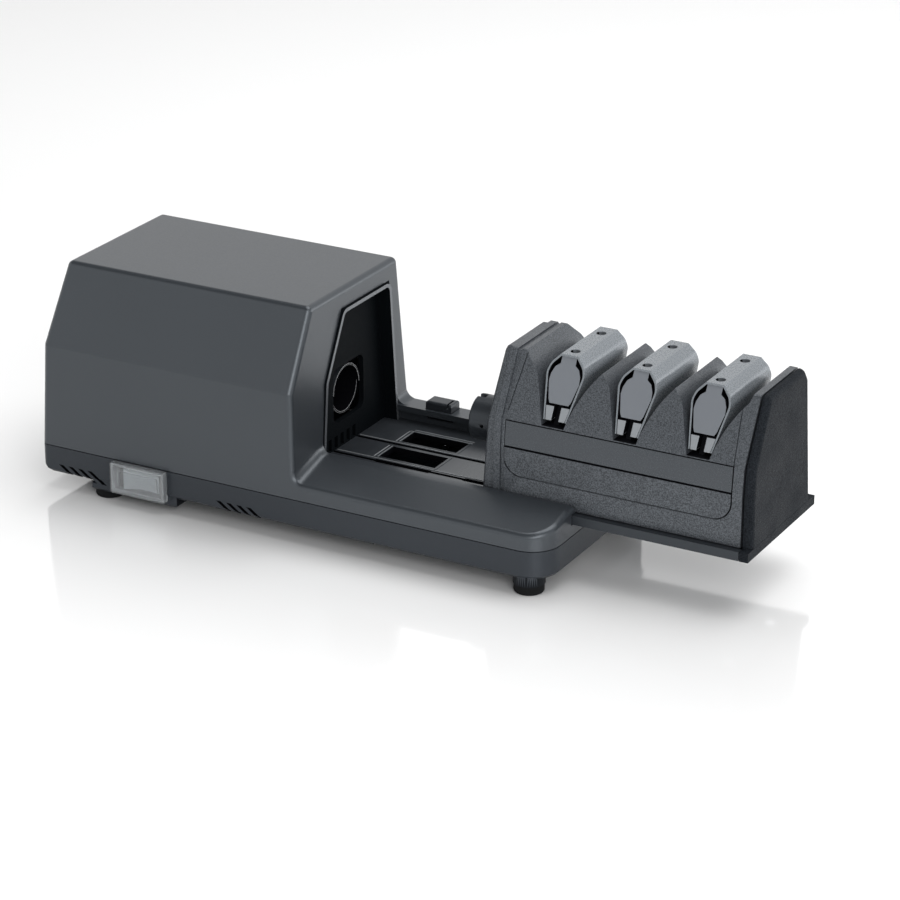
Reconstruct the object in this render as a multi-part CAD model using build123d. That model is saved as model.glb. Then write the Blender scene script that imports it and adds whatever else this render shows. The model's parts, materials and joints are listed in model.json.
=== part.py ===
"""Three-stage electric knife sharpener with a removable sharpening module.

Working frame, in millimetres: X runs from the motor end to the open end of the base,
Y from the front to the back, Z up from the surface the feet stand on. The export step
moves everything so that the origin is at the bottom centre of the whole object.
"""
from build123d import *
import math
import os

# ---- base and motor housing ----
housing_length = 136.0
tray_length = 126.0          # from the housing to the open end
base_depth = 106.5
roof_above_niche = 11.0
shell_wall = 2.5
seam_height = 21.6           # parting line between the upper and the bottom shell
seam_gap = 0.4
underside_height = 8.0       # underside of the bottom shell above the surface
incline_height = 35.0        # from the front wall's upper end to the roof
top_front_setback = 19.0     # how far the roof's front edge is behind the front wall
top_back_setback = 10.1
left_end_draft = 5.6
right_end_draft = 1.0
housing_edge_radius = 2.9
right_corner_radius = 14.0
shell_chamfer = 5.0

# ---- tray and rails ----
tray_rise = 5.1              # tray floor above the seam
tray_floor_thickness = 2.5
rail_roof = 2.8              # what lies above the lips' groove
front_rail_drop = 5.6        # how far the front rail slopes down to its outer edge
front_rail_flat = 6.0
front_rail_inner = 27.5
back_rail_width = 14.0
rail_root_radius = 4.5
lip_depth = 3.5              # how far the rails reach over the module's lips
lip_height = 4.2
lip_set_back = 5.2           # from the module's inner end to the start of its lips
slide_clearance = 0.4
window_length = 28.6
window_place = 15.0          # from the housing to the windows
front_window_width = 13.0
front_window_offset = 9.5    # from the drive axis to the front window's front edge
back_window_width = 12.2
back_window_offset = 10.6
window_rim_width = 1.2
floor_groove_width = 2.0
floor_groove_depth = 1.0
floor_groove_inset = 4.5      # front groove ahead of the front window
floor_groove_end = 12.0
floor_slot_half = 1.6
floor_slot_gap = 17.4         # between the windows and the slot beyond them

# ---- niche that takes the module's inner end ----
niche_depth = 6.5
niche_wall = 1.7
niche_head_gap = 1.0         # above the module's inner end plate
niche_kink_set_back = 3.5
niche_kink_drop = 1.6
niche_top_set_back = 19.0
niche_back_lean = 6.3
liner_proud = 0.4
liner_gap = 0.35
liner_corner_radius = 3.0
wall_vent_count = 5
wall_vent_pitch = 5.35
wall_vent_width = 2.8
wall_vent_height = 6.4
wall_vent_offset = 17.0      # from the drive axis to the first vent
pocket_width = 27.0
pocket_height = 26.4

# ---- drive line ----
axis_z = 52.4
shaft_radius = 4.0
shaft_fit = 0.05             # radial running clearance of shafts in their bushes
bush_radius = 7.0
bush_length = 8.0
cup_outer_radius = 11.8
cup_wall = 0.9
cup_set_back = 2.3           # from the niche's end wall to the cup's rim
cup_depth = 14.0
cup_web = 3.0
rim_step = 1.3
key_thickness = 3.0
key_height = 4.0
hub_clearance = 0.4
hub_length = 17.0
hub_plate_gap = 0.8
key_slot_clearance = 0.35

# ---- motor ----
stator_left = 50.0
motor_coupling_gap = 28.2    # from the stator to the drive cup's web
motor_switch_gap = 0.4       # under the stator, above the switch
rotor_radius = 17.0
air_gap = 0.5
winding_clearance = 2.0      # inside the end windings, round the bore
winding_inset = 4.0
winding_length = 9.5
bracket_thickness = 3.0
bracket_standoff = 11.0
bracket_inset = 2.0
bracket_window_place = 19.0
bracket_window_radius = 6.5
motor_bolt_inset = 6.0
motor_bolt_radius = 2.0
motor_foot_length = 13.0
motor_foot_width = 44.0
motor_foot_rise = 6.5        # motor feet above the shell's floor
motor_foot_thickness = 2.5
motor_post_radius = 5.0
motor_post_offset = 15.0
grommet_height = 2.0
fan_clearance = 5.5
fan_width = 12.0
fan_blades = 10
blade_inner = 11.0

# ---- sharpening module ----
module_out = 83.0            # how far the module stands pulled out
module_end_gap = 2.3         # between the seated module and the niche's end wall
module_side_gap = 0.5
module_back_gap = 1.1
module_front_draft = 1.5
module_kink_drop = 0.4       # front wall's upper end below the slot floors
module_top_lean = 15.0
module_back_lean = 8.9
end_plate_thickness = 6.6
end_plate_inset = 1.0
end_plate_drop = 1.2         # its top below the module's top
end_plate_draft = 2.0
outer_plate_thickness = 4.2
outer_plate_draft = 1.4
outer_plate_gap = 1.1
outer_plate_corner_radius = 4.0
outer_plate_edge_radius = 3.2
stage_count = 3
stage_end_margin = 27.0      # what the stages leave free of the module's length
slot_depth = 27.2
slot_half_width = 5.4
slot_knee_half = 12.4
slot_knee_drop = 4.8
fin_drop = 3.6               # fins below the module's top
fin_bulge_half = 9.8
fin_bulge_drop = 10.7
module_wall = 2.6
chamber_roof_thickness = 5.0
chamber_front_wall = 10.5
chamber_back_wall = 9.9
module_base_thickness = 2.2
frame_gap = 0.3
panel_height = 25.6
band_height = 12.1
panel_left = 11.3
panel_right = 4.6            # distance of the panel's right edge from the frame's end
panel_depth = 1.4
panel_gap = 0.35
panel_corner_radius = 9.0

# ---- knife guides ----
spring_rise = 0.8            # crown of the guide springs above the module's top
spring_band = 0.9
spring_top_half = 4.2
spring_shoulder_half = 9.2
spring_shoulder_drop = 7.4
spring_shoulder_radius = 5.5
spring_toe_half = 5.5
spring_toe_rise = 2.2        # toes above the slot floor
toe_block_height = 5.6
toe_block_inner = 1.7
guide_set_back = 0.8
core_half = 7.3
core_neck_clearance = 0.25   # beside the crown of the guide spring's hollow
core_neck_depth = 2.9
core_toe_gap = 0.8
core_bottom_half = 4.6
guide_post_half = 1.3
guide_post_set_back = 3.0    # posts behind the core's end faces
guide_post_depth = 12.0
guide_front_screw_inset = 5.4
guide_back_screw_inset = 7.5
guide_screw_radius = 1.3
guide_hole_radius = 2.2
guide_head_depth = 2.6

# ---- abrasive discs ----
disc_radius = 17.4
disc_rise = 1.8              # rims above the slot floors
disc_outer_face = 4.7
disc_inner_face = 2.5
disc_rim_thickness = 1.0
disc_bore_clearance = 0.05
collar_radius = 5.8
collar_end = 0.5
spring_wire = 0.8
disc_spring_radius = 7.0
pin_radius = 1.0
pin_half_length = 5.6

# ---- feet ----
foot_radius = 6.8
foot_recess = 3.8             # top of the rubber below the shell's underside
foot_front_y = 8.0
foot_left_x = 32.0
foot_right_inset = 12.0
foot_spigot_radius = 2.6
foot_spigot_length = 3.0

# ---- switch ----
switch_centre_x = 54.2
switch_rise = 5.7             # switch centre above the shell's underside
switch_boss_left = 27.0
switch_boss_right = 73.5
switch_boss_drop = 4.4
switch_boss_depth = 17.0
switch_cover_length = 29.0
switch_cover_height = 14.8
switch_cover_proud = 3.5
switch_cover_wall = 1.0
switch_body_length = 25.4
switch_body_height = 12.6
switch_body_depth = 24.0
switch_front_depth = 14.0     # the part of the switch that stands in the boss
switch_rear_drop = 0.6
rocker_half = 9.4
rocker_height = 10.0
rocker_pivot_depth = 6.2
rocker_reach = 6.7
rocker_valley = 5.2
rocker_tilt = 8.0
rocker_pin_radius = 1.2
rocker_side_gap = 0.6

# ---- release catch ----
catch_place = 14.5            # from the housing to the catch
catch_length = 13.5
catch_inset = 1.9             # behind the back rail's inner face
catch_depth = 8.0
catch_rise = 4.0
catch_gap = 0.3
catch_travel = 2.5
catch_lift = 0.2              # underside of the catch above the groove at rest
catch_stem_depth = 3.5
catch_barb = 1.2
catch_spring_radius = 1.75

# ---- cord entry, electrics and fasteners ----
gland_x = 44.0
gland_rise = 5.9              # above the shell's floor
gland_proud = 7.0
gland_radius = 4.6
gland_bore_radius = 3.0
gland_flange = 1.6
gland_flange_reach = 1.1
vent_slot_pitch = 5.3
vent_slot_width = 1.9
vent_slot_run = 4.8
vent_slot_drop = 3.4
vent_slot_count = 4
first_vents_x = 9.0
second_vents_place = 41.0     # before the housing's open end
notch_length = 8.5
notch_gap = 4.0               # after the switch boss
tray_notch_place = 40.0
first_screw_x = 16.0
second_screw_inset = 17.0
rail_screw_inset = 26.0
shell_screw_inset = 12.0
back_rail_screw_inset = 5.3
shell_screw_radius = 1.6
shell_screw_length = 12.0     # thread above the seam, in the housing
rail_screw_cover = 2.4
shell_boss_height = 38.4
rail_boss_drop = 3.9
back_rail_boss_radius = 2.75
screw_head_radius = 3.0
screw_head_height = 2.0
screw_boss_radius = 4.2
capacitor_gap = 3.3
capacitor_motor_gap = 4.5
capacitor_wall_gap = 1.0
capacitor_height = 26.0
terminal_block_size = (24.0, 12.0, 9.0)

# ---- values worked out from the sizes above: along the length ----
base_length = housing_length + tray_length
niche_wall_face = housing_length - niche_depth
niche_wall_back = niche_wall_face - shell_wall
window_left = housing_length + window_place
floor_slot_left = window_left + window_length + floor_slot_gap
module_home = niche_wall_face + module_end_gap
module_left = module_home + module_out
module_length = base_length - module_home
module_right = module_left + module_length
frame_left = module_left + end_plate_thickness
frame_right = module_right - outer_plate_thickness - outer_plate_gap
stage_pitch = (module_length - stage_end_margin) / stage_count
hub_right = module_left - hub_plate_gap
hub_left = hub_right - hub_length
spindle_end = frame_right - 1.0
cup_rim_x = niche_wall_face - cup_set_back
cup_bottom = cup_rim_x - cup_depth
cup_web_left = cup_bottom - cup_web
stator_right = cup_web_left - motor_coupling_gap
left_bracket = stator_left - bracket_standoff - bracket_thickness
right_bracket = stator_right + bracket_standoff
catch_left = housing_length + catch_place
foot_right_x = base_length - foot_right_inset
shell_screw_xs = (first_screw_x, housing_length - second_screw_inset)
rail_screw_x = base_length - rail_screw_inset

# ---- across the depth ----
back_rail_inner = base_depth - back_rail_width
axis_y = (front_rail_inner + back_rail_inner) / 2
front_rail_slope_end = front_rail_inner - front_rail_flat
front_groove = front_rail_inner - lip_depth
back_groove = back_rail_inner + lip_depth
front_lip = front_groove + slide_clearance
back_lip = back_groove - slide_clearance
front_window_low = axis_y - front_window_offset
back_window_low = axis_y + back_window_offset
wall_vent_first = axis_y - wall_vent_offset
niche_top_front = front_rail_inner + niche_top_set_back
niche_top_back = back_rail_inner - niche_back_lean
module_front = front_rail_inner + module_side_gap
module_back = back_rail_inner - module_back_gap
module_kink_y = module_front + module_front_draft
module_top_front = module_kink_y + module_top_lean
module_top_back = module_back - module_back_lean
chamber_front = module_front + chamber_front_wall
chamber_back = module_back - chamber_back_wall
catch_low_y = back_rail_inner + catch_inset
catch_high_y = catch_low_y + catch_depth
catch_stem_low_y = catch_high_y - catch_stem_depth
back_rail_screw_y = base_depth - back_rail_screw_inset
fan_radius = (back_rail_inner - front_rail_inner) / 2 - fan_clearance

# ---- up the height ----
shell_floor = underside_height + shell_wall
shell_top = seam_height - seam_gap
foot_height = underside_height - foot_recess
tray_floor_top = seam_height + tray_rise
floor_bottom = tray_floor_top - tray_floor_thickness
lip_bottom = tray_floor_top + slide_clearance
lip_top = lip_bottom + lip_height
groove_top = lip_top + slide_clearance
rail_top = groove_top + rail_roof
front_rail_edge = rail_top - front_rail_drop
rail_boss_top = rail_top - rail_boss_drop
rail_screw_length = rail_boss_top - seam_height - rail_screw_cover
shell_boss_top = seam_height + shell_boss_height
catch_top = rail_top + catch_rise
frame_bottom = lip_top + frame_gap
module_base_top = lip_bottom + module_base_thickness
slot_floor = axis_z + disc_radius - disc_rise
module_kink_z = slot_floor - module_kink_drop
band_bottom = module_kink_z - band_height
panel_bottom = module_kink_z - panel_height
chamber_roof = slot_floor - chamber_roof_thickness
module_top = slot_floor + slot_depth
fin_top = module_top - fin_drop
slot_knee_z = fin_top - slot_knee_drop
fin_bulge_z = fin_top - fin_bulge_drop
spring_top = module_top + spring_rise
spring_shoulder_height = spring_top - spring_shoulder_drop
spring_toe_height = slot_floor + spring_toe_rise
toe_block_top = spring_toe_height + toe_block_height
core_bottom = toe_block_top + core_toe_gap
end_plate_top = module_top - end_plate_drop
niche_top = end_plate_top + niche_head_gap
niche_kink = (front_rail_inner + niche_kink_set_back, module_kink_z - niche_kink_drop)
module_kink = (module_kink_y, module_kink_z)
incline = (module_top_front - module_kink[0]) / (module_top - module_kink[1])
overall_height = niche_top + roof_above_niche
kink_height = overall_height - incline_height
switch_centre_z = underside_height + switch_rise
switch_boss_bottom = underside_height - switch_boss_drop
switch_low_z = switch_centre_z - switch_cover_height / 2
gland_z = shell_floor + gland_rise
motor_foot_height = shell_floor + motor_foot_rise

# ---- radii and sides ----
cup_inner_radius = cup_outer_radius - cup_wall
hub_radius = cup_inner_radius - hub_clearance
stator_side = 2 * (axis_z - switch_centre_z - switch_body_height / 2 - motor_switch_gap)
bracket_side = stator_side - 2 * bracket_inset
motor_bolt_offset = stator_side / 2 - motor_bolt_inset
winding_inner_radius = rotor_radius + air_gap + winding_clearance
winding_outer_radius = stator_side / 2 - winding_inset
origin_x = module_right / 2
origin_y = (base_depth + gland_proud - switch_cover_proud) / 2


# ---- small builders ----
def box(x_low, x_high, y_low, y_high, z_low, z_high):
    solid = Box(x_high - x_low, y_high - y_low, z_high - z_low, align=(Align.MIN,) * 3)
    return Pos(x_low, y_low, z_low) * solid


def yz_prism(points, x_low, x_high, grow=0.0):
    """A section drawn as (y, z) points, pushed along X; grow offsets the outline."""
    section = make_face(Polyline(*points, close=True))
    if grow:
        section = offset(section, amount=grow, kind=Kind.INTERSECTION)
    return extrude(Plane.YZ.offset(x_low) * section, amount=x_high - x_low)


def xz_prism(points, y_low, y_high):
    section = make_face(Polyline(*points, close=True))
    return extrude(Plane.XZ.offset(-y_high) * section, amount=y_high - y_low)


def xy_prism(points, z_low, z_high):
    section = make_face(Polyline(*points, close=True))
    return extrude(Plane.XY.offset(z_low) * section, amount=z_high - z_low)


def x_rod(radius, x_low, x_high, y=axis_y, z=axis_z):
    rod = Cylinder(radius, x_high - x_low, align=(Align.CENTER, Align.CENTER, Align.MIN))
    return Pos(x_low, y, z) * Rot(0, 90, 0) * rod


def y_rod(radius, y_low, y_high, x, z):
    rod = Cylinder(radius, y_high - y_low, align=(Align.CENTER, Align.CENTER, Align.MIN))
    return Pos(x, y_low, z) * Rot(-90, 0, 0) * rod


def z_rod(radius, z_low, z_high, x, y):
    rod = Cylinder(radius, z_high - z_low, align=(Align.CENTER, Align.CENTER, Align.MIN))
    return Pos(x, y, z_low) * rod


def edges_between(solid, x=(-math.inf, math.inf), y=(-math.inf, math.inf), z=(-math.inf, math.inf)):
    """The edges whose middle lies inside the given ranges."""
    found = []
    for edge in solid.edges():
        middle = edge @ 0.5
        if x[0] <= middle.X <= x[1] and y[0] <= middle.Y <= y[1] and z[0] <= middle.Z <= z[1]:
            found.append(edge)
    return found


def stage_centres():
    return [module_left + stage_pitch * (index + 1) for index in range(stage_count)]


# ---- upper shell: motor housing, niche opening, tray and rails in one moulding ----
def housing_block(inset, right_end):
    """The housing's outer form, or its hollow when inset by the wall."""
    side = [
        (0, seam_height),
        (0, kink_height),
        (top_front_setback, overall_height),
        (base_depth - top_back_setback, overall_height),
        (base_depth, seam_height),
    ]
    profile = yz_prism(side, 0, housing_length, grow=-inset)
    front = [
        (inset, seam_height),
        (inset + left_end_draft, overall_height),
        (right_end - right_end_draft, overall_height),
        (right_end, seam_height),
    ]
    block = profile & xz_prism(front, -1, base_depth + 1)
    if inset:
        block += box(inset, right_end, inset, base_depth - inset, seam_height - 5, seam_height + inset)
    return block


def niche_outline():
    return [
        (front_rail_inner, tray_floor_top),
        niche_kink,
        (niche_top_front, niche_top),
        (niche_top_back, niche_top),
        (back_rail_inner, tray_floor_top),
    ]


def plan_block(z_low, z_high, inset=0.0):
    """The base's plan, with small corners at the motor end and large ones at the open end."""
    block = box(inset, base_length - inset, inset, base_depth - inset, z_low, z_high)
    left = [edge for edge in block.edges().filter_by(Axis.Z) if (edge @ 0.5).X < base_length / 2]
    block = fillet(left, max(housing_edge_radius - inset, 0.8))
    right = [edge for edge in block.edges().filter_by(Axis.Z) if (edge @ 0.5).X > base_length - inset - 1]
    return fillet(right, right_corner_radius - inset)


def housing_screw_places():
    ys = (shell_screw_inset, base_depth - shell_screw_inset)
    return [(x, y) for x in shell_screw_xs for y in ys]


def rail_screw_places():
    return [(rail_screw_x, shell_screw_inset), (rail_screw_x, back_rail_screw_y)]


def housing_screw_boss(x, y):
    """A tall screw boss with a web that ties it to the nearest long wall."""
    web_y = (0.8, y) if y < base_depth / 2 else (y, base_depth - 0.8)
    boss = z_rod(screw_boss_radius, seam_height, shell_boss_top, x, y)
    boss += box(x - 1, x + 1, *web_y, seam_height, shell_boss_top)
    return boss & housing_block(0.3, housing_length - 0.3)


def rail_outlines():
    lean = top_back_setback * (rail_top - seam_height) / (overall_height - seam_height)
    front = [
        (0, seam_height),
        (0, front_rail_edge),
        (front_rail_slope_end, rail_top),
        (front_rail_inner, rail_top),
        (front_rail_inner, seam_height),
    ]
    back = [
        (back_rail_inner, seam_height),
        (back_rail_inner, rail_top),
        (base_depth - lean, rail_top),
        (base_depth, seam_height),
    ]
    return front, back


def is_outer_edge(edge):
    """True for the shell's outer corners, which are rounded together."""
    start, end, middle = edge @ 0, edge @ 1, edge @ 0.5
    over_rails = middle.X > housing_length + 2 * rail_root_radius
    if middle.Z < seam_height + 1:
        return False
    if abs(middle.Y - front_rail_inner) < 0.6 or abs(middle.Y - back_rail_inner) < 0.6:
        return False
    if abs(middle.Y - front_rail_slope_end) < 1.2 and middle.Z < rail_top + rail_root_radius + 1:
        return False
    if abs(middle.X - housing_length) < rail_root_radius + 1 and middle.Z < rail_top + rail_root_radius + 1:
        return middle.Y < 1 or middle.Y > base_depth - 2.5
    return not (over_rails and abs(start.Z - end.Z) > 6)


def make_outer_form():
    """Housing and rails in one, with the concave roots and the rounded outer corners."""
    front, back = rail_outlines()
    rail_start = housing_length - 8
    rails = yz_prism(front, rail_start, base_length) + yz_prism(back, rail_start, base_length)
    form = housing_block(0, housing_length) + (rails & plan_block(seam_height, rail_top))
    roots = edges_between(
        form,
        x=(housing_length - right_end_draft - 0.5, housing_length + 0.3),
        z=(front_rail_edge - 2, rail_top + 1),
    )
    form = fillet([edge for edge in roots if abs((edge @ 0).Y - (edge @ 1).Y) > 3], rail_root_radius)
    return fillet([edge for edge in form.edges() if is_outer_edge(edge)], housing_edge_radius)


def make_upper_shell():
    shell = make_outer_form()
    shell -= housing_block(shell_wall, housing_length - shell_wall)
    shell -= niche_opening()
    shell -= rail_hollows()
    shell += tray_floor()
    for y_low, y_high in ((front_groove, front_rail_inner + 1), (back_rail_inner - 1, back_groove)):
        shell -= box(housing_length, base_length + 1, y_low, y_high, tray_floor_top, groove_top)
    for y_low, y_high in ((front_groove, front_rail_inner), (back_rail_inner, back_groove)):
        shell -= box(
            housing_length, base_length - shell_wall, y_low, y_high, seam_height - 1, floor_bottom
        )
    shell += make_window_rims()
    shell -= make_floor_cuts()
    for x, y in housing_screw_places():
        shell += housing_screw_boss(x, y)
        shell -= z_rod(shell_screw_radius, seam_height - 1, seam_height + shell_screw_length, x, y)
    for x, y in rail_screw_places():
        radius = screw_boss_radius if y < base_depth / 2 else back_rail_boss_radius
        shell += z_rod(radius, seam_height, rail_boss_top, x, y)
        shell -= z_rod(shell_screw_radius, seam_height - 1, seam_height + rail_screw_length, x, y)
    return shell - catch_hole()


def niche_opening():
    """The hole the liner's collar passes through; above the rails it also clears the root fillet."""
    grow = niche_wall + liner_gap
    near_wall = yz_prism(niche_outline(), niche_wall_face, housing_length + liner_proud, grow=grow)
    beyond = yz_prism(niche_outline(), niche_wall_face, housing_length + rail_root_radius + 1.5, grow=grow)
    above_floor = box(0, base_length, 0, base_depth, tray_floor_top, overall_height)
    above_rails = box(0, base_length, 0, base_depth, rail_top, overall_height)
    return (near_wall & above_floor) + (beyond & above_rails)


def rail_hollows():
    slope = (rail_top - front_rail_edge) / front_rail_slope_end
    below = seam_height - 1
    front = [
        (shell_wall, below),
        (shell_wall, front_rail_edge - shell_wall + slope * shell_wall),
        (front_groove - shell_wall, rail_top - shell_wall - slope * shell_wall),
        (front_groove - shell_wall, below),
    ]
    back = [
        (back_groove + shell_wall, below),
        (back_groove + shell_wall, rail_top - shell_wall),
        (base_depth - shell_wall, rail_top - shell_wall),
        (base_depth - shell_wall, below),
    ]
    start = housing_length - shell_wall - 0.5
    hollows = yz_prism(front, start, base_length - shell_wall) + yz_prism(back, start, base_length - shell_wall)
    return hollows & plan_block(below, rail_top, inset=shell_wall)


def tray_floor():
    """The floor with a curb under each rail and a skirt at the open end."""
    start = niche_wall_back
    wide = (front_groove - shell_wall, back_groove + shell_wall)
    floor = box(start, base_length, *wide, floor_bottom, tray_floor_top)
    skirt = box(base_length - shell_wall, base_length, front_groove, back_groove, seam_height, tray_floor_top)
    return floor + skirt


def catch_hole():
    return box(
        catch_left - catch_gap,
        catch_left + catch_length + catch_gap,
        catch_low_y - catch_gap,
        catch_high_y + catch_gap,
        groove_top + catch_lift - catch_travel - catch_gap,
        rail_top + 1,
    )


def make_window_rims():
    rims = None
    for y_low, width in ((front_window_low, front_window_width), (back_window_low, back_window_width)):
        rim = box(
            window_left - window_rim_width,
            window_left + window_length + window_rim_width,
            y_low - window_rim_width,
            y_low + width + window_rim_width,
            tray_floor_top - 0.2,
            tray_floor_top + slide_clearance / 2,
        )
        rims = rim if rims is None else rims + rim
    return rims


def make_floor_cuts():
    """Two windows through the tray floor and the long grooves beside them."""
    cuts = None
    for y_low, width in ((front_window_low, front_window_width), (back_window_low, back_window_width)):
        window = box(
            window_left, window_left + window_length, y_low, y_low + width, floor_bottom - 1, tray_floor_top + 1
        )
        cuts = window if cuts is None else cuts + window
    between = (front_window_low + front_window_width + back_window_low) / 2
    front_line = front_window_low - floor_groove_inset
    for y in (front_line, between):
        cuts += box(
            niche_wall_face,
            base_length - floor_groove_end,
            y - floor_groove_width / 2,
            y + floor_groove_width / 2,
            tray_floor_top - floor_groove_depth,
            tray_floor_top + 1,
        )
    slots = (
        (window_left, window_left + window_length),
        (floor_slot_left, base_length - floor_groove_end - 2),
    )
    for x_low, x_high in slots:
        cuts += box(
            x_low, x_high, front_line - floor_slot_half, front_line + floor_slot_half,
            floor_bottom - 1, tray_floor_top + 1,
        )
    return cuts


def make_niche_liner():
    """The collar and end wall that face the module, with vents and the drive pocket."""
    above = box(0, base_length, 0, base_depth, tray_floor_top, overall_height)
    outer = yz_prism(niche_outline(), niche_wall_back, housing_length + liner_proud, grow=niche_wall)
    outer = outer & above
    inner = yz_prism(niche_outline(), niche_wall_face, housing_length + 10) & above
    inner_corners = edges_between(inner, z=(niche_kink[1] - 1, niche_top + 1))
    inner_corners = [edge for edge in inner_corners if abs((edge @ 0).X - (edge @ 1).X) > niche_depth]
    inner = fillet(inner_corners, liner_corner_radius)
    outer_corners = edges_between(outer, z=(niche_kink[1] - 1, niche_top + 4))
    outer_corners = [edge for edge in outer_corners if abs((edge @ 0).X - (edge @ 1).X) > niche_depth]
    outer = fillet(outer_corners, liner_corner_radius + niche_wall)
    liner = outer - inner
    pocket = box(
        niche_wall_back - 1,
        niche_wall_face + 1,
        axis_y - pocket_width / 2,
        axis_y + pocket_width / 2,
        axis_z - pocket_height / 2,
        axis_z + pocket_height / 2,
    )
    liner -= fillet(pocket.edges().filter_by(Axis.X), 4)
    for index in range(wall_vent_count):
        y = wall_vent_first + index * wall_vent_pitch
        liner -= box(
            niche_wall_back - 1,
            niche_wall_face + 1,
            y - wall_vent_width / 2,
            y + wall_vent_width / 2,
            tray_floor_top + 0.6,
            tray_floor_top + wall_vent_height,
        )
    return liner


# ---- bottom shell ----
def slanted_slot(x, y_low, y_high):
    """One short ventilation slot that leans over at the bottom edge of a long wall."""
    top = underside_height + vent_slot_drop + 1.2
    foot = underside_height - 1
    lean = vent_slot_run * (top - foot) / vent_slot_drop
    corners = [
        (x, top),
        (x + vent_slot_width * 1.3, top),
        (x + lean + vent_slot_width * 1.3, foot),
        (x + lean, foot),
    ]
    return xz_prism(corners, y_low, y_high)


def make_bottom_shell():
    shell = plan_block(underside_height, shell_top)
    low = [edge for edge in shell.edges() if (edge @ 0.5).Z < underside_height + 0.1]
    shell = chamfer(low, 1.6)
    left = [(-1, underside_height - 1), (-1, underside_height + shell_chamfer),
            (shell_chamfer + 1, underside_height - 1)]
    shell -= xz_prism(left, -1, base_depth + 1)
    boss = box(
        switch_boss_left, switch_boss_right, 0.4, switch_boss_depth, switch_boss_bottom, shell_floor
    )
    boss_foot = [edge for edge in boss.edges() if (edge @ 0.5).Z < switch_boss_bottom + 0.1]
    shell += chamfer(boss_foot, 1.2)
    for x, y in foot_places():
        if not (switch_boss_left < x < switch_boss_right and y < switch_boss_depth):
            shell += z_rod(foot_radius + 0.4, foot_height, shell_floor, x, y)

    hollow = plan_block(shell_floor, shell_top + 1, inset=shell_wall)
    left_inner = [
        (0, shell_floor - 1),
        (0, underside_height + shell_chamfer + 2.4),
        (shell_chamfer + 3.4, shell_floor - 1),
    ]
    hollow -= xz_prism(left_inner, -1, base_depth + 1)
    shell -= hollow
    shell -= box(
        switch_boss_left + shell_wall,
        switch_boss_right - shell_wall,
        shell_wall,
        switch_boss_depth - shell_wall,
        switch_boss_bottom + shell_wall,
        shell_floor + 1,
    )

    shell -= box(
        switch_centre_x - switch_body_length / 2,
        switch_centre_x + switch_body_length / 2,
        -1,
        shell_wall + 1,
        switch_centre_z - switch_body_height / 2,
        switch_centre_z + switch_body_height / 2,
    )
    for group_start in (first_vents_x, housing_length - second_vents_place):
        for index in range(vent_slot_count):
            x = group_start + index * vent_slot_pitch
            shell -= slanted_slot(x, -1, shell_wall + 0.5)
            shell -= slanted_slot(x, base_depth - shell_wall - 0.5, base_depth + 1)
    for notch_left in (switch_boss_right + notch_gap, housing_length + tray_notch_place):
        shell -= box(notch_left, notch_left + notch_length, -1, 5, underside_height - 1, underside_height + 0.8)

    for x, y in foot_places():
        shell += z_rod(foot_spigot_radius + 2, foot_height, shell_floor + 1.5, x, y)
        shell -= z_rod(foot_spigot_radius, foot_height - 1, foot_height + foot_spigot_length, x, y)
        shell -= z_rod(foot_radius + 0.05, -1, foot_height, x, y)
    for x, y in housing_screw_places() + rail_screw_places():
        shell += z_rod(screw_boss_radius, underside_height, seam_height, x, y)
        shell -= z_rod(shell_screw_radius + 0.3, underside_height - 1, seam_height + 1, x, y)
        shell -= z_rod(
            screw_head_radius + 0.3, underside_height - 1, underside_height + screw_head_height + 1, x, y
        )
    post_top = motor_foot_height - grommet_height
    for x, y in motor_post_places():
        shell += z_rod(motor_post_radius, shell_floor - 0.5, post_top, x, y)
        shell -= z_rod(1.4, shell_floor, post_top + 1, x, y)
    shell += catch_spring_seat()
    shell -= y_rod(gland_radius, base_depth - shell_wall - 1, base_depth + 1, gland_x, gland_z)
    return shell


def foot_places():
    ys = (foot_front_y, base_depth - foot_front_y)
    return [(x, y) for x in (foot_left_x, foot_right_x) for y in ys]


def make_feet():
    feet = []
    for x, y in foot_places():
        foot = z_rod(foot_radius, 0, foot_height, x, y)
        rim = [edge for edge in foot.edges() if (edge @ 0.5).Z < 0.1]
        foot = fillet(rim, 0.9)
        spigot_top = foot_height + foot_spigot_length - 0.2
        feet.append(foot + z_rod(foot_spigot_radius - 0.1, foot_height - 0.2, spigot_top, x, y))
    return feet


def make_shell_screws():
    screws = []
    for x, y in housing_screw_places() + rail_screw_places():
        seat = underside_height + screw_head_height + 1
        length = shell_screw_length if x < housing_length else rail_screw_length
        head = z_rod(screw_head_radius, seat - screw_head_height, seat, x, y)
        drive_low, drive_high = seat - screw_head_height - 1, seat - screw_head_height + 0.9
        head -= box(x - 2.2, x + 2.2, y - 0.4, y + 0.4, drive_low, drive_high)
        head -= box(x - 0.4, x + 0.4, y - 2.2, y + 2.2, drive_low, drive_high)
        screws.append(head + z_rod(shell_screw_radius, seat, seam_height + length - 1, x, y))
    return screws


# ---- motor ----
def motor_post_places():
    left = left_bracket + bracket_thickness - motor_foot_length / 2 - 2
    right = right_bracket + motor_foot_length / 2 + 2
    return [(x, axis_y + side * motor_post_offset) for x in (left, right) for side in (-1, 1)]


def bolt_corners():
    offsets = (-motor_bolt_offset, motor_bolt_offset)
    return [(axis_y + dy, axis_z + dz) for dy in offsets for dz in offsets]


def make_stator():
    half = stator_side / 2
    core = box(stator_left, stator_right, axis_y - half, axis_y + half, axis_z - half, axis_z + half)
    core = fillet(core.edges().filter_by(Axis.X), 6)
    core -= x_rod(rotor_radius + air_gap, stator_left - 1, stator_right + 1)
    for y, z in bolt_corners():
        core -= x_rod(motor_bolt_radius + 0.1, stator_left - 1, stator_right + 1, y, z)
    return core


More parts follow.
